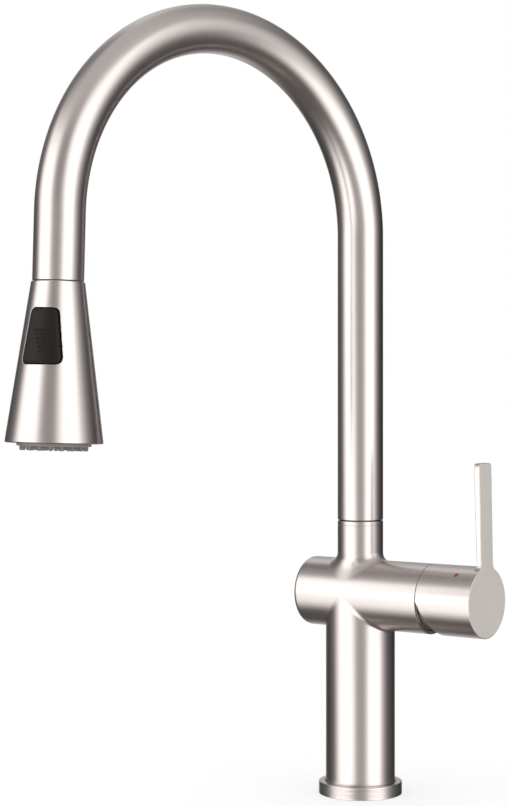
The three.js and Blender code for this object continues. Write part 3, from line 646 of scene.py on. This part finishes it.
def together(skin, turned):
    """One mesh from a skinned shape and a turned one."""
    corner_normals = skin["normals"][np.array(skin["faces"]).ravel()]
    shifted = [tuple(i + len(skin["points"]) for i in face) for face in turned["faces"]]
    shape = {name: np.vstack([skin[name], turned[name]]) for name in ("points", "brush", "across")}
    shape["faces"] = skin["faces"] + shifted
    shape["corner_normals"] = np.vstack([corner_normals, turned["corner_normals"]])
    return shape


# --- base and deck mounting


def add_flange():
    outline = [(16.6, 0), (18.5, 0), (18.5, 1.2), (23, 1.2), (23, 0), (FLANGE_R, 0.0, 0.3)]
    for height in (1.3, 2.4, 3.3, 4.5, 5.4, 6.2):
        outline += [(FLANGE_R, height - 0.22), (FLANGE_R - 0.1, height), (FLANGE_R, height + 0.22)]
    outline += [(FLANGE_R, FLANGE_TOP, 0.5), (21.8, FLANGE_TOP, 0.15), (21.8, 6.0), (16.6, 6.0)]
    add_turned("base_flange", outline, NICKEL, "faucet_body", radius=0.08, sides=160, longest=0.6)


def thread(radius, depth, pitch, low, high, sides=72, per_turn=12):
    """A threaded cylinder between two heights, without its ends."""
    rows = int((high - low) / pitch * per_turn)
    heights = np.linspace(low, high, rows)
    angles = np.linspace(0, 2 * math.pi, sides, endpoint=False)
    turn, height = np.meshgrid(angles, heights)
    phase = (height / pitch - turn / (2 * math.pi)) % 1
    groove = np.clip(np.abs(phase - 0.5) * 2.6 - 0.3, 0, 1)
    fade = np.clip(np.minimum(height - low, high - height) / pitch, 0, 1)
    r = radius - depth * groove * fade
    return np.stack([r * np.cos(turn), r * np.sin(turn), height], axis=-1).reshape(-1, 3), rows, sides


def add_shank():
    low, high, inner, outer = -52.0, 15.7, 13.5, 15.8
    points, rows, sides = thread(outer, 0.7, 1.5, low, high)
    bore_low, bore_high = points[:sides].copy(), points[-sides:].copy()
    for loop in (bore_low, bore_high):
        loop[:, :2] *= inner / outer
    points = np.vstack([points, bore_high, bore_low])
    rings = rows + 2
    faces = [quad(row, (row + 1) % rings, k, sides) for row in range(rings) for k in range(sides)]
    skin = {"points": points, "faces": faces, "brush": points[:, ::-1].copy()}
    shank = add_shape("mounting_shank", skin, BRASS, "faucet_body")
    shank.data.set_sharp_from_angle(angle=math.radians(50))


def hexagon(u, v, across_corners):
    flat = across_corners * math.cos(math.pi / 6)
    sides = [u * math.cos(a) + v * math.sin(a) for a in np.radians((30, 90, 150))]
    return np.maximum.reduce([np.abs(side) for side in sides]) - flat


NUT_FOOT, NUT_LOW, NUT_TOP = -38.9, -35.9, -24.9


def nut_distance(points):
    u, v, w = points.T
    r = np.hypot(u, v)
    wrench = round_common(hexagon(u, v, 27.0), slab(w, NUT_LOW, NUT_TOP), 0.4)
    crown = r - 26.6 - np.minimum(w - NUT_LOW, NUT_TOP - w) * 0.7
    wrench = round_common(wrench, crown, 0.3)
    collar = round_common(r - 22.0, slab(w, NUT_FOOT, NUT_TOP), 0.6)
    solid = round_join(wrench, collar, 0.6)
    return round_common(solid, 16.1 - r, 0.4)


def add_mounting_nut():
    wide = grid_lines(-28, 28, 0.7)
    nut = skinned(nut_distance, wide, wide, grid_lines(-40, -24, 0.6))
    add_shape("mounting_nut", with_rings(nut), BRASS, "faucet_body")


# --- body shell

NECK_SPLIT = 149.5  # above this the neck's thin wall is a turned shape
LEFT_END_EDGE = 3.0
CROSS_FILLET = 1.6
NECK_FILLET = 5.0
COLUMN_BORE, SHANK_BORE, CROSS_BORE = 19.2, 16.2, 19.3
LEFT_WALL = -33.8


def body_distance(points):
    x, y, z = points.T
    up = z - CROSS_Z
    upright, lying = np.hypot(x, y), np.hypot(y, up)
    column = round_common(upright - COLUMN_R, slab(z, COLUMN_FOOT, CROSS_Z), 0.35)
    cross = round_common(lying - COLUMN_R, CROSS_LEFT - x, LEFT_END_EDGE)
    cross = round_common(cross, x - CROSS_END, SEAM_EDGE)
    tucked = np.maximum(z - NECK_SPLIT, 0) * 0.5
    neck = np.maximum(upright - TUBE_R + tucked, slab(z, CROSS_Z, NECK_SPLIT + 0.6))
    # the fillet fades out at front and back, where the two equal cylinders only touch
    facing = y * y / np.maximum(upright * lying, 1e-6)
    parted = np.sqrt(np.clip(1 - facing * facing, 0, 1))
    solid = round_join(column, cross, CROSS_FILLET * parted + 0.01)
    solid = round_join(solid, neck, NECK_FILLET)
    bores = np.minimum.reduce([
        np.maximum(upright - COLUMN_BORE, slab(z, 16, CROSS_Z)),
        np.maximum(upright - SHANK_BORE, z - 17),
        np.maximum(lying - CROSS_BORE, LEFT_WALL - x),
        np.maximum(upright - NECK_BORE, CROSS_Z - z),
    ])
    return round_common(solid, -bores, 0.25)


def neck_top():
    socket = 13.1
    outline = [
        (NECK_BORE, NECK_SPLIT, 0), (TUBE_R, NECK_SPLIT, 0), (TUBE_R, 164.72), (TUBE_R - 0.2, 164.9),
        (TUBE_R, 165.08), (TUBE_R, NECK_TOP, 0.4), (socket, NECK_TOP), (socket, 157), (NECK_BORE, 157),
        (NECK_BORE, CLIP_Z + GROOVE_HALF), (socket, CLIP_Z + GROOVE_HALF),
        (socket, CLIP_Z - GROOVE_HALF), (NECK_BORE, CLIP_Z - GROOVE_HALF),
    ]
    shape = revolved(outline, radius=0.06, sides=160, longest=1.0)
    shape["brush"][:, 0] = shape["points"][:, 2] + np.hypot(shape["points"][:, 0], shape["points"][:, 1])
    return shape


def body_brush(points, normals):
    x, y, z = points.T
    up = z - CROSS_Z
    upright, upright_across = rings_about(points, normals, 2)
    lying, lying_across = rings_about(points, normals, 0, (0, 0, CROSS_Z))
    from_axis = np.hypot(x, y)
    off_upright = np.minimum(np.abs(from_axis - COLUMN_R) + np.maximum(up, 0), np.abs(from_axis - TUBE_R))
    on_cross = np.abs(np.hypot(y, up) - COLUMN_R) < off_upright
    on_cross |= x < CROSS_LEFT + 1
    pick = on_cross[:, None]
    return {"brush": np.where(pick, lying, upright), "across": np.where(pick, lying_across, upright_across)}


def add_body_shell():
    skin = skinned(
        body_distance,
        grid_lines(-38, 54, 0.8, (-37, -34, 0.35), (51.6, 53.2, 0.2)),
        grid_lines(-22.4, 22.4, 0.8),
        grid_lines(5, 151, 0.8, (5.6, 7.4, 0.25), (142, 151, 0.5)),
    )
    skin.update(body_brush(skin["points"], skin["normals"]))
    add_shape("body_shell", together(skin, neck_top()), NICKEL, "faucet_body")


# --- valve


def add_cartridge_housing():
    outline = [
        (15, 19.3), (17.4, 19.3), (17.4, 48), (12.5, 48), (12.5, 56.5), (9.6, 56.5), (9.6, 46.9), (15, 46.9),
    ]
    add_turned("cartridge_housing", outline, WHITE_POLYMER, "faucet_body", CROSS, radius=0.4)


def add_bonnet():
    outer, inner, hole = 17.7, 16.3, 10.4
    steps = 24
    rising = [(outer, a) for a in np.linspace(0, math.acos(hole / outer), steps)]
    falling = [(inner, a) for a in np.linspace(math.acos(hole / inner), 0, steps)]
    outline = [(r * math.cos(a), PIVOT_X + r * math.sin(a), 0.2) for r, a in rising + falling]
    add_turned("bonnet_dome", outline, NICKEL, "faucet_body", CROSS, radius=0.2)


# --- lever

PADDLE_HALF = 7.0
PADDLE_FOOT = 134.0
RELIEF = math.tan(math.radians(24.3))
BARREL_BORE = 18.0
BARREL_FLOOR = 84.0
HUB_X = 70.5
HUB_R = 8.0
STEM_HALF = 3.3
INDEX_X = 76.4
INDEX_ANGLE = math.radians(37)
POCKET_R = 1.25
SCREW_X = 77.5
SCREW_R = 2.8

lever_side = polygon([
    (40, 80), (LEVER_FACE, 80), (LEVER_FACE, 143), (LEVER_FACE - 1.2, PADDLE_TOP), (40, PADDLE_TOP),
])
paddle_back = polygon([
    (86.4, PADDLE_FOOT), (100, PADDLE_FOOT), (100, 230), (84.0, 230), (84.9, PADDLE_TOP), (87.1, 143),
])


def paddle_front(y, z):
    """The paddle seen from the end: straight sides and a top with round corners."""
    corner = 2.8
    side = np.abs(y) - PADDLE_HALF
    return round_common(side, z - PADDLE_TOP, corner)


def lever_distance(points):
    x, y, z = points.T
    up = z - CROSS_Z
    radius = np.hypot(y, up)
    barrel = round_common(radius - COLUMN_R, LEVER_START - x, SEAM_EDGE)
    paddle = round_common(paddle_front(y, z), paddle_back(x, z), 0.5)
    paddle = np.maximum(paddle, PADDLE_FOOT - z)
    solid = round_join(barrel, paddle, 2.6)
    solid = round_common(solid, lever_side(x, z), 0.45)
    cavity = np.maximum(radius - BARREL_BORE, x - BARREL_FLOOR)
    cavity = np.maximum(cavity, -np.maximum(radius - HUB_R, HUB_X - x))
    relief = np.maximum((x - LEVER_START + up * RELIEF) * math.cos(math.atan(RELIEF)), up)
    stem = np.maximum(np.maximum(np.abs(y), np.abs(up)) - STEM_HALF, x - 86)
    screw = np.maximum(np.hypot(x - SCREW_X, y) - SCREW_R, up)
    solid = round_common(solid, -cavity, 0.3)
    solid = round_common(solid, -relief, 0.25)
    solid = np.maximum(solid, -np.maximum(stem, HUB_X - 1 - x))
    solid = round_common(solid, -screw, 0.2)
    for side in (1, -1):
        along = up * math.cos(INDEX_ANGLE) - side * y * math.sin(INDEX_ANGLE)
        aside = y * math.cos(INDEX_ANGLE) + side * up * math.sin(INDEX_ANGLE)
        pocket = np.maximum(np.hypot(x - INDEX_X, aside) - POCKET_R, COLUMN_R - 1.2 - along)
        solid = round_common(solid, -pocket, 0.15)
    return solid


def lever_brush(points, normals):
    x, _, z = points.T
    lying, lying_across = rings_about(points, normals, 0, (0, 0, CROSS_Z))
    upright = np.stack([points[:, 1] + 0.3 * x, z * 0.02, x * 0.02], axis=-1)
    upright_across = np.tile((0.0, 1.0, 0.0), (len(points), 1))
    flat = (np.abs(normals[:, 0]) > 0.7) | (z > CROSS_Z + COLUMN_R + 0.5)
    pick = flat[:, None]
    return {
        "brush": np.where(pick, upright, lying),
        "across": np.where(pick, upright_across, lying_across),
        "satin": np.clip((normals[:, 0] - 0.8) / 0.19, 0, 1),
    }


def add_lever_handle():
    skin = skinned(
        lever_distance,
        grid_lines(52, 91.4, 0.65, (52.6, 53.8, 0.2), (84, 91.2, 0.25)),
        grid_lines(-22.4, 22.4, 0.65, (-7.8, -6, 0.25), (6, 7.8, 0.25)),
        grid_lines(100.4, 206.4, 0.65, (140, 147, 0.4), (201, 206, 0.3)),
    )
    add_shape("lever_handle", {**skin, **lever_brush(skin["points"], skin["normals"])}, NICKEL, "lever")


def on_barrel(angle):
    c, s = math.cos(angle), math.sin(angle)
    return placed((1, 0, 0), (0, c, s), (0, -s, c), (INDEX_X, 0, CROSS_Z))


def add_lever_small():
    dot = [
        (0, COLUMN_R - 0.9), (1.1, COLUMN_R - 0.9), (1.1, COLUMN_R - 0.05, 0.2), (0.6, COLUMN_R + 0.1, 1.0),
        (0, COLUMN_R + 0.15),
    ]
    add_turned("hot_index", dot, RED, "lever", on_barrel(INDEX_ANGLE), radius=0.1, sides=48)
    add_turned("cold_index", dot, BLUE, "lever", on_barrel(-INDEX_ANGLE), radius=0.1, sides=48)
    foot = CROSS_Z - COLUMN_R + 0.1
    plug = [(0, foot), (2.5, foot), (2.5, foot + 2.6), (0, foot + 2.6)]
    plug_place = placed((1, 0, 0), (0, 1, 0), (0, 0, 1), (SCREW_X, 0, 0))
    add_turned("handle_screw_plug", plug, DARK_POLYMER, "lever", plug_place, radius=0.35, sides=48)


# --- spout and hose


def spout_path(distance):
    return gooseneck(distance, SPOUT_FOOT)


def hose_path(distance):
    return gooseneck(distance, HOSE_FOOT)


def add_spout_tube():
    length = gooseneck_length(SPOUT_FOOT, OUTLET_LEG)
    outline = [(TUBE_BORE, 0), (TUBE_R, 0, 0.35), (TUBE_R, length, 0.35), (TUBE_BORE, length)]
    add_turned("spout_tube", outline, NICKEL, "spout", SPOUT, 0.15, sides=128, path=spout_path, longest=2.0)


def groove_notches(outer, floor, middles, half):
    notches = []
    for low, high in ((middle - half, middle + half) for middle in middles):
        notches += [(outer, low), (floor, low), (floor, high), (outer, high)]
    return notches


def add_spout_insert():
    low, high, inner, groove = 143, 196, 8.8, 10.4
    outline = [
        (inner, low), (INSERT_R, low),
        *groove_notches(INSERT_R, groove, (LOWER_ORING_Z, CLIP_Z, UPPER_ORING_Z), GROOVE_HALF),
        (INSERT_R, SPOUT_FOOT), (INSIDE_TUBE, SPOUT_FOOT), (INSIDE_TUBE, high), (inner, high),
    ]
    add_turned("spout_insert", outline, BRASS, "spout", SPOUT, radius=0.12)
    ring_r, cord_r = 11.35, 0.6
    for name, middle in (("swivel_oring_lower", LOWER_ORING_Z), ("swivel_oring_upper", UPPER_ORING_Z)):
        turns = np.linspace(0, 2 * math.pi, 20, endpoint=False)
        section = [(ring_r + cord_r * math.cos(a), middle + cord_r * math.sin(a)) for a in turns]
        add_turned(name, section, RUBBER, "spout", SPOUT, radius=0.1)


def add_hose():
    length = gooseneck_length(HOSE_FOOT, OUTLET_LEG - HOSE_SPLIT - 0.3)
    outline = [(0, 0), (HOSE_R, 0), (HOSE_R, length), (0, length)]
    shape = revolved(outline, radius=0.4, sides=48, path=hose_path, longest=2.5)
    add_shape("spray_hose", shape, BRAID, "spout", SPOUT)
    outline = [(0, -HOSE_SPLIT), (HOSE_R, -HOSE_SPLIT), (HOSE_R, -4), (0, -4)]
    shape = revolved(outline, radius=0.05, sides=48, longest=0.08)
    hose = add_piece("spray_hose_pulled", finish=BRAID_END, body=None, place=HEAD,
                     stands_for=("spray_hose_end",), **shape)
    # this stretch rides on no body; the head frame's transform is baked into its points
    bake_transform(hose)


# --- spray head


def cone_radius(at):
    return HEAD_TOP_R + (HEAD_RIM_R - HEAD_TOP_R) * at / HEAD_LENGTH


CONE_TILT = math.cos(math.atan((HEAD_RIM_R - HEAD_TOP_R) / HEAD_LENGTH))
BUTTON_TOP, BUTTON_FOOT, BUTTON_MARGIN = 15.6, 44.8, 0.6
BUTTON_TOP_HALF, BUTTON_FOOT_HALF = 7.6, 11.1
PIN_U, PIN_W = 12.0, 30.3  # where the button's pin runs through the head


def quadratic(start, control, stop, steps=8):
    start, control, stop = (np.array(p, float) for p in (start, control, stop))
    shares = np.linspace(0, 1, steps)
    return [tuple((1 - t) ** 2 * start + 2 * t * (1 - t) * control + t * t * stop) for t in shares]


def button_outline(margin):
    """The button as seen from its own side, as (across, along) points."""
    corner = 3 + margin
    top, foot = BUTTON_TOP - margin, BUTTON_FOOT + margin
    top_half, foot_half = BUTTON_TOP_HALF + margin, BUTTON_FOOT_HALF + margin
    points = quadratic((top_half - corner, top), (top_half, top), (top_half + 0.3, top + corner))
    points += quadratic((foot_half, foot - corner), (foot_half, foot), (foot_half - corner, foot))
    points += [(-u, v) for u, v in reversed(points)]
    return points


window_outline = polygon(button_outline(BUTTON_MARGIN))
button_edge = polygon(button_outline(0))
shell_outline = polygon([
    (-40, 0.4), (cone_radius(0.4) - 0.2, 0.4), (cone_radius(0.7), 0.7),
    (cone_radius(HEAD_LENGTH - 0.6), HEAD_LENGTH - 0.6), (HEAD_RIM_R - 0.6, HEAD_LENGTH), (-40, HEAD_LENGTH),
])


def shell_distance(points):
    u, v, w = points.T
    r = np.hypot(u, v)
    outside = shell_outline(r, w)
    inside = np.maximum((r - cone_radius(w) + 1.8) * CONE_TILT, 2.4 - w)
    inside = np.minimum(inside, np.maximum(r - 10.3, w - 4))
    hollow = round_common(outside, -inside, 0.25)
    window = np.maximum(window_outline(v, w), -u)
    return round_common(hollow, -window, 0.3)


def add_spray_shell():
    skin = skinned(
        shell_distance,
        grid_lines(-28, 28, 0.7, (12, 22, 0.4)),
        grid_lines(-28, 28, 0.7, (-13, -7, 0.35), (7, 13, 0.35)),
        grid_lines(-0.4, 88.4, 0.7, (0, 1.4, 0.15), (14, 19, 0.35), (41, 46.5, 0.35), (86, 87.8, 0.15)),
    )
    add_shape("spray_shell", with_rings(skin), NICKEL, "spray_head", HEAD)


ICON_ROWS, ICON_TOP, DOT_R, DOT_HEIGHT = 6, 27.0, 0.55, 0.5
ICON_DOTS = [
    ((k - (ICON_ROWS - row - 1) / 2) * 1.9, ICON_TOP + 2.3 * row)
    for row in range(ICON_ROWS)
    for k in range(ICON_ROWS - row)
]


def icon_distance(v, w):
    """Raised dots in a fan that narrows towards the rim."""
    return np.minimum.reduce([np.hypot(v - across, w - along) for across, along in ICON_DOTS]) - DOT_R


def button_distance(points):
    u, v, w = points.T
    out = (np.hypot(u, v) - cone_radius(w)) * CONE_TILT
    edge = button_edge(v, w)
    rim = np.clip((edge + 1.2) / 0.5, 0, 1) * 0.25
    icon = np.clip(0.5 - icon_distance(v, w) / 0.35, 0, 1) * DOT_HEIGHT
    cap = round_common(out - 0.3 - rim - icon * (edge < -1.5), edge, 0.3)
    cap = np.maximum(cap, -(out + 2))
    cap = np.maximum(cap, -u)
    from_pin = np.hypot(u - PIN_U, w - PIN_W)
    level = np.abs(w - PIN_W)
    lug_r, lug_half = 2.6, 4
    lug = np.maximum(from_pin - lug_r, np.abs(v) - lug_half)
    web = np.maximum(slab(u, PIN_U, 17.2), np.maximum(np.abs(v) - lug_half, level - lug_r))
    finger = np.maximum(slab(u, 7.6, PIN_U), np.maximum(np.abs(v) - 1.2, level - 1))
    solid = np.minimum(np.minimum(cap, lug), np.minimum(web, finger))
    return np.maximum(solid, 1.5 - from_pin)


def add_button():
    deep, wide, long = grid_lines(7, 22, 0.3), grid_lines(-12, 12, 0.25), grid_lines(14.6, 46, 0.25)
    add_shape("mode_button", skinned(button_distance, deep, wide, long), SOFT_BUTTON, "rocker", HEAD)


NOZZLE_ROWS = ((9.6, 8), (13.6, 12), (17.6, 18))
NOZZLES = [
    (radius * math.cos(2 * math.pi * i / count), radius * math.sin(2 * math.pi * i / count))
    for radius, count in NOZZLE_ROWS
    for i in range(count)
]
MAT_FACE = 86.6


def nearest_nozzle(u, v):
    return np.minimum.reduce([np.hypot(u - a, v - b) for a, b in NOZZLES])


def plate_distance(points):
    u, v, w = points.T
    r = np.hypot(u, v)
    cup = round_common(r - 20.2, slab(w, 72, FACE_DEPTH), 0.35)
    cup = round_common(cup, -np.maximum(r - 19.4, w - (FACE_DEPTH - 2)), 0.25)
    cup = round_common(cup, 6.3 - r, 0.3)
    return round_common(cup, 1.4 - nearest_nozzle(u, v), 0.2)


def mat_distance(points):
    u, v, w = points.T
    r = np.hypot(u, v)
    mat = round_common(np.maximum(6.6 - r, r - 19), slab(w, 83.9, MAT_FACE), 0.2)
    nearest = nearest_nozzle(u, v)
    spike = round_common(nearest - 1.15 + (w - MAT_FACE) * 0.06, slab(w, 85, FACE_DEPTH + 2.4), 0.35)
    solid = np.minimum(mat, spike)
    return np.maximum(solid, 0.42 - nearest)


def aerator_distance(points):
    u, v, w = points.T
    r = np.hypot(u, v)
    ring = round_common(np.maximum(4.9 - r, r - 5.9), slab(w, 78, FACE_DEPTH - 0.5), 0.25)
    pitch = 1.1
    bars = np.minimum(np.abs((u % pitch) - pitch / 2), np.abs((v % pitch) - pitch / 2)) - 0.16
    mesh = np.maximum(np.maximum(bars, r - 5.2), slab(w, FACE_DEPTH - 2.2, FACE_DEPTH - 1.2))
    return np.minimum(ring, mesh)


def add_spray_face():
    wide = grid_lines(-20.8, 20.8, 0.4)
    plate = skinned(plate_distance, wide, wide, grid_lines(71, 90, 0.6, (86, 90, 0.3)))
    add_shape("nozzle_plate", with_rings(plate), POLYMER, "spray_head", HEAD)
    middle = grid_lines(-19.6, 19.6, 0.3)
    mat = skinned(mat_distance, middle, middle, grid_lines(83.4, 92, 0.3))
    add_shape("nozzle_mat", mat, SILICONE, "spray_head", HEAD)
    narrow = grid_lines(-6.2, 6.2, 0.14)
    aerator = skinned(aerator_distance, narrow, narrow, grid_lines(77.6, 89, 0.5, (86.2, 89, 0.25)))
    add_shape("aerator", aerator, DARK_POLYMER, "spray_head", HEAD)


def add_dock_plug():
    outline = [(7.8, -20), (9.2, -20), (10, -18), (10, 2.7), (12.4, 2.7), (12.4, 5), (7.8, 5)]
    add_turned("dock_plug", outline, DARK_POLYMER, "spray_head", HEAD, radius=0.25)


# --- plain rings

# Name, inner and outer radius, low and high end, finish, body, frame and edge radius.
RINGS = [
    ("base_gasket", 18.8, 22.7, 0, 0.9, RUBBER, "faucet_body", STAND, 0.25),
    ("clamp_gasket", 16.4, 27, -22, -20, RUBBER, "faucet_body", STAND, 0.4),
    ("clamp_washer", 16.4, 28, -24.6, -22.3, STEEL, "faucet_body", STAND, 0.5),
    ("neck_bushing", 12.1, 12.8, 157.3, 166.4, WHITE_POLYMER, "faucet_body", STAND, 0.15),
    ("swivel_washer", 12.2, 12.8, 166.7, 167.8, RUBBER, "faucet_body", STAND, 0.15),
    ("cartridge_nut", 13, 18.9, 48.3, 52.4, STEEL, "faucet_body", CROSS, 0.4),
    ("face_ring", 20.6, 24.1, 83, 86.9, DARK_POLYMER, "spray_head", HEAD, 0.4),
    ("dock_collar", 10.4, 12.4, -26, -1, DARK_POLYMER, "spout", HEAD, 0.3),
    ("hose_ferrule", 6.3, 7.4, -18, -5, STEEL, "hose_end", HEAD, 0.3),
    ("head_washer", 3, 6.6, 12, 13.5, RUBBER, "spray_head", HEAD, 0.25),
    ("check_valve", 2.2, 6.8, 15.1, 20.7, WHITE_POLYMER, "spray_head", HEAD, 0.25),
    ("inlet_filter", 1.2, 6.8, 13.8, 14.8, STEEL, "spray_head", HEAD, 0.15),
]


def add_rings():
    for name, inner, outer, low, high, finish, body, place, edge in RINGS:
        outline = [(inner, low), (outer, low), (outer, high), (inner, high)]
        add_turned(name, outline, finish, body, place, edge)


# --- pieces kept from the CAD

KEPT = {
    BRASS: ("valve_seat", "cartridge_stem", "hose_nut"),
    RUBBER: ("seat_seal_hot", "seat_seal_cold", "seat_seal_mixed"),
    CERAMIC: ("fixed_ceramic_disc", "moving_ceramic_disc"),
    WHITE_POLYMER: ("cartridge_turret", "diverter_spool"),
    DARK_POLYMER: ("cartridge_base",),
    POLYMER: ("head_core",),
    STEEL: ("stem_pin", "handle_set_screw", "retaining_clip", "button_pin"),
}


def finish_kept_nodes():
    for finish, names in KEPT.items():
        for name in names:
            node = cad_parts[name]
            node.data.materials.clear()
            node.data.materials.append(finish)


# --- studio


def add_floor():
    """Pale paper that glows a little. Glossy rays pass it, so the metal reflects the low lights instead."""
    mesh = bpy.data.meshes.new("floor")
    half = 12.0
    corners = [(-half, -half, 0), (half, -half, 0), (half, half, 0), (-half, half, 0)]
    mesh.from_pydata(corners, [], [(0, 1, 2, 3)])
    material = bpy.data.materials.new("floor_paper")
    material.use_nodes = True
    nodes = Nodes(material.node_tree)
    matt = nodes.add("ShaderNodeBsdfDiffuse", {"Color": (0.42, 0.42, 0.42, 1)})
    glow = nodes.add("ShaderNodeEmission", {"Color": (0.56, 0.56, 0.56, 1)})
    paper = nodes.add("ShaderNodeAddShader")
    nodes.feed(paper.inputs[0], matt.outputs[0])
    nodes.feed(paper.inputs[1], glow.outputs[0])
    clear = nodes.add("ShaderNodeBsdfTransparent")
    path = nodes.add("ShaderNodeLightPath")
    mixed = nodes.add("ShaderNodeMixShader")
    nodes.feed(mixed.inputs[0], path.outputs["Is Glossy Ray"])
    nodes.feed(mixed.inputs[1], paper.outputs[0])
    nodes.feed(mixed.inputs[2], clear.outputs[0])
    output = nodes.add("ShaderNodeOutputMaterial")
    nodes.feed(output.inputs["Surface"], mixed.outputs[0])
    mesh.materials.append(material)
    floor = bpy.data.objects.new("floor", mesh)
    bpy.context.scene.collection.objects.link(floor)


# Brightness round the object at four heights. The angle is measured from the side the camera is on,
# anticlockwise seen from above.
LOW_LIGHT = [
    (-180, 0.7), (-166, 0.36), (-148, 0.03), (-100, 0.08), (-64, 1.9), (-28, 2.0), (-14, 0.5), (10, 0.46),
    (27, 1.9), (58, 2.0), (78, 0.5), (95, 0.1), (150, 0.02), (167, 0.3), (180, 0.7),
]
LEVEL_LIGHT = [
    (-180, 0.8), (-166, 0.42), (-149, 0.05), (-108, 0.14), (-78, 1.9), (-44, 2.0), (-22, 0.46), (12, 0.45),
    (34, 1.9), (62, 2.0), (80, 0.66), (94, 0.2), (112, 0.04), (152, 0.02), (168, 0.36), (180, 0.8),
]
UPPER_LIGHT = [
    (-180, 0.5), (-171, 0.72), (-162, 0.72), (-151, 0.16), (-116, 0.14), (-84, 1.8), (-48, 1.95),
    (-22, 0.3), (2, 0.28), (26, 1.9), (62, 1.9), (80, 0.8), (98, 0.28), (124, 0.08), (152, 0.1),
    (168, 0.36), (180, 0.5),
]
HIGH_LIGHT = [
    (-180, 0.6), (-168, 0.9), (-159, 0.8), (-146, 0.3), (-136, 0.14), (-118, 0.24), (-92, 0.44),
    (-60, 0.6), (0, 0.6), (60, 0.66), (86, 0.58), (112, 0.45), (146, 0.34), (165, 0.42), (180, 0.6),
]


def round_ramp(nodes, turn, lights):
    """The ramp holds half of each brightness, because its colours end at 1."""
    stops = [((angle + 180) / 360, (level / 2,) * 3) for angle, level in lights]
    return nodes.ramp(turn, stops, "EASE")


def add_world():
    world = bpy.data.worlds.new("studio")
    bpy.context.scene.world = world
    world.use_nodes = True
    nodes = Nodes(world.node_tree)
    way = nodes.add("ShaderNodeTexCoord").outputs["Generated"]
    c, s = math.cos(CAMERA_TURN), math.sin(CAMERA_TURN)
    turn = nodes.math("ARCTAN2", nodes.dot(way, (c, s, 0)), nodes.dot(way, (s, -c, 0)))
    turn = nodes.span(turn, -math.pi, math.pi)
    rise = nodes.math("MULTIPLY", nodes.math("ARCSINE", nodes.dot(way, (0, 0, 1))), 180 / math.pi)
    light = round_ramp(nodes, turn, LOW_LIGHT)
    for lights, start, stop in ((LEVEL_LIGHT, -9, -2), (UPPER_LIGHT, 6, 14), (HIGH_LIGHT, 31, 46)):
        light = nodes.mix(nodes.span(rise, start, stop, smooth=True), light, round_ramp(nodes, turn, lights))
    light = nodes.mix(nodes.span(rise, 60, 74, smooth=True), light, (0.3, 0.3, 0.3, 1))
    light = nodes.mix(nodes.span(rise, -60, -24, 1, 0, smooth=True), light, (0.045, 0.042, 0.04, 1))
    path = nodes.add("ShaderNodeLightPath")
    soft = nodes.ramp(nodes.span(rise, -90, 90), [(0, (0.42,) * 3), (1, (0.58,) * 3)])
    light = nodes.mix(path.outputs["Is Diffuse Ray"], light, soft)
    light = nodes.mix(path.outputs["Is Camera Ray"], light, (0.5, 0.5, 0.5, 1))
    background = nodes.add("ShaderNodeBackground", {"Color": light, "Strength": 2.0})
    output = nodes.add("ShaderNodeOutputWorld")
    nodes.feed(output.inputs["Surface"], background.outputs[0])


def set_colour():
    view = bpy.context.scene.view_settings
    view.view_transform = "Standard"
    view.look = "None"


# --- the faucet

add_flange()
add_shank()
add_mounting_nut()
add_body_shell()
add_cartridge_housing()
add_bonnet()
add_lever_handle()
add_lever_small()
add_spout_tube()
add_spout_insert()
add_hose()
add_spray_shell()
add_button()
add_spray_face()
add_dock_plug()
add_rings()
finish_kept_nodes()
add_floor()
add_world()
set_colour()
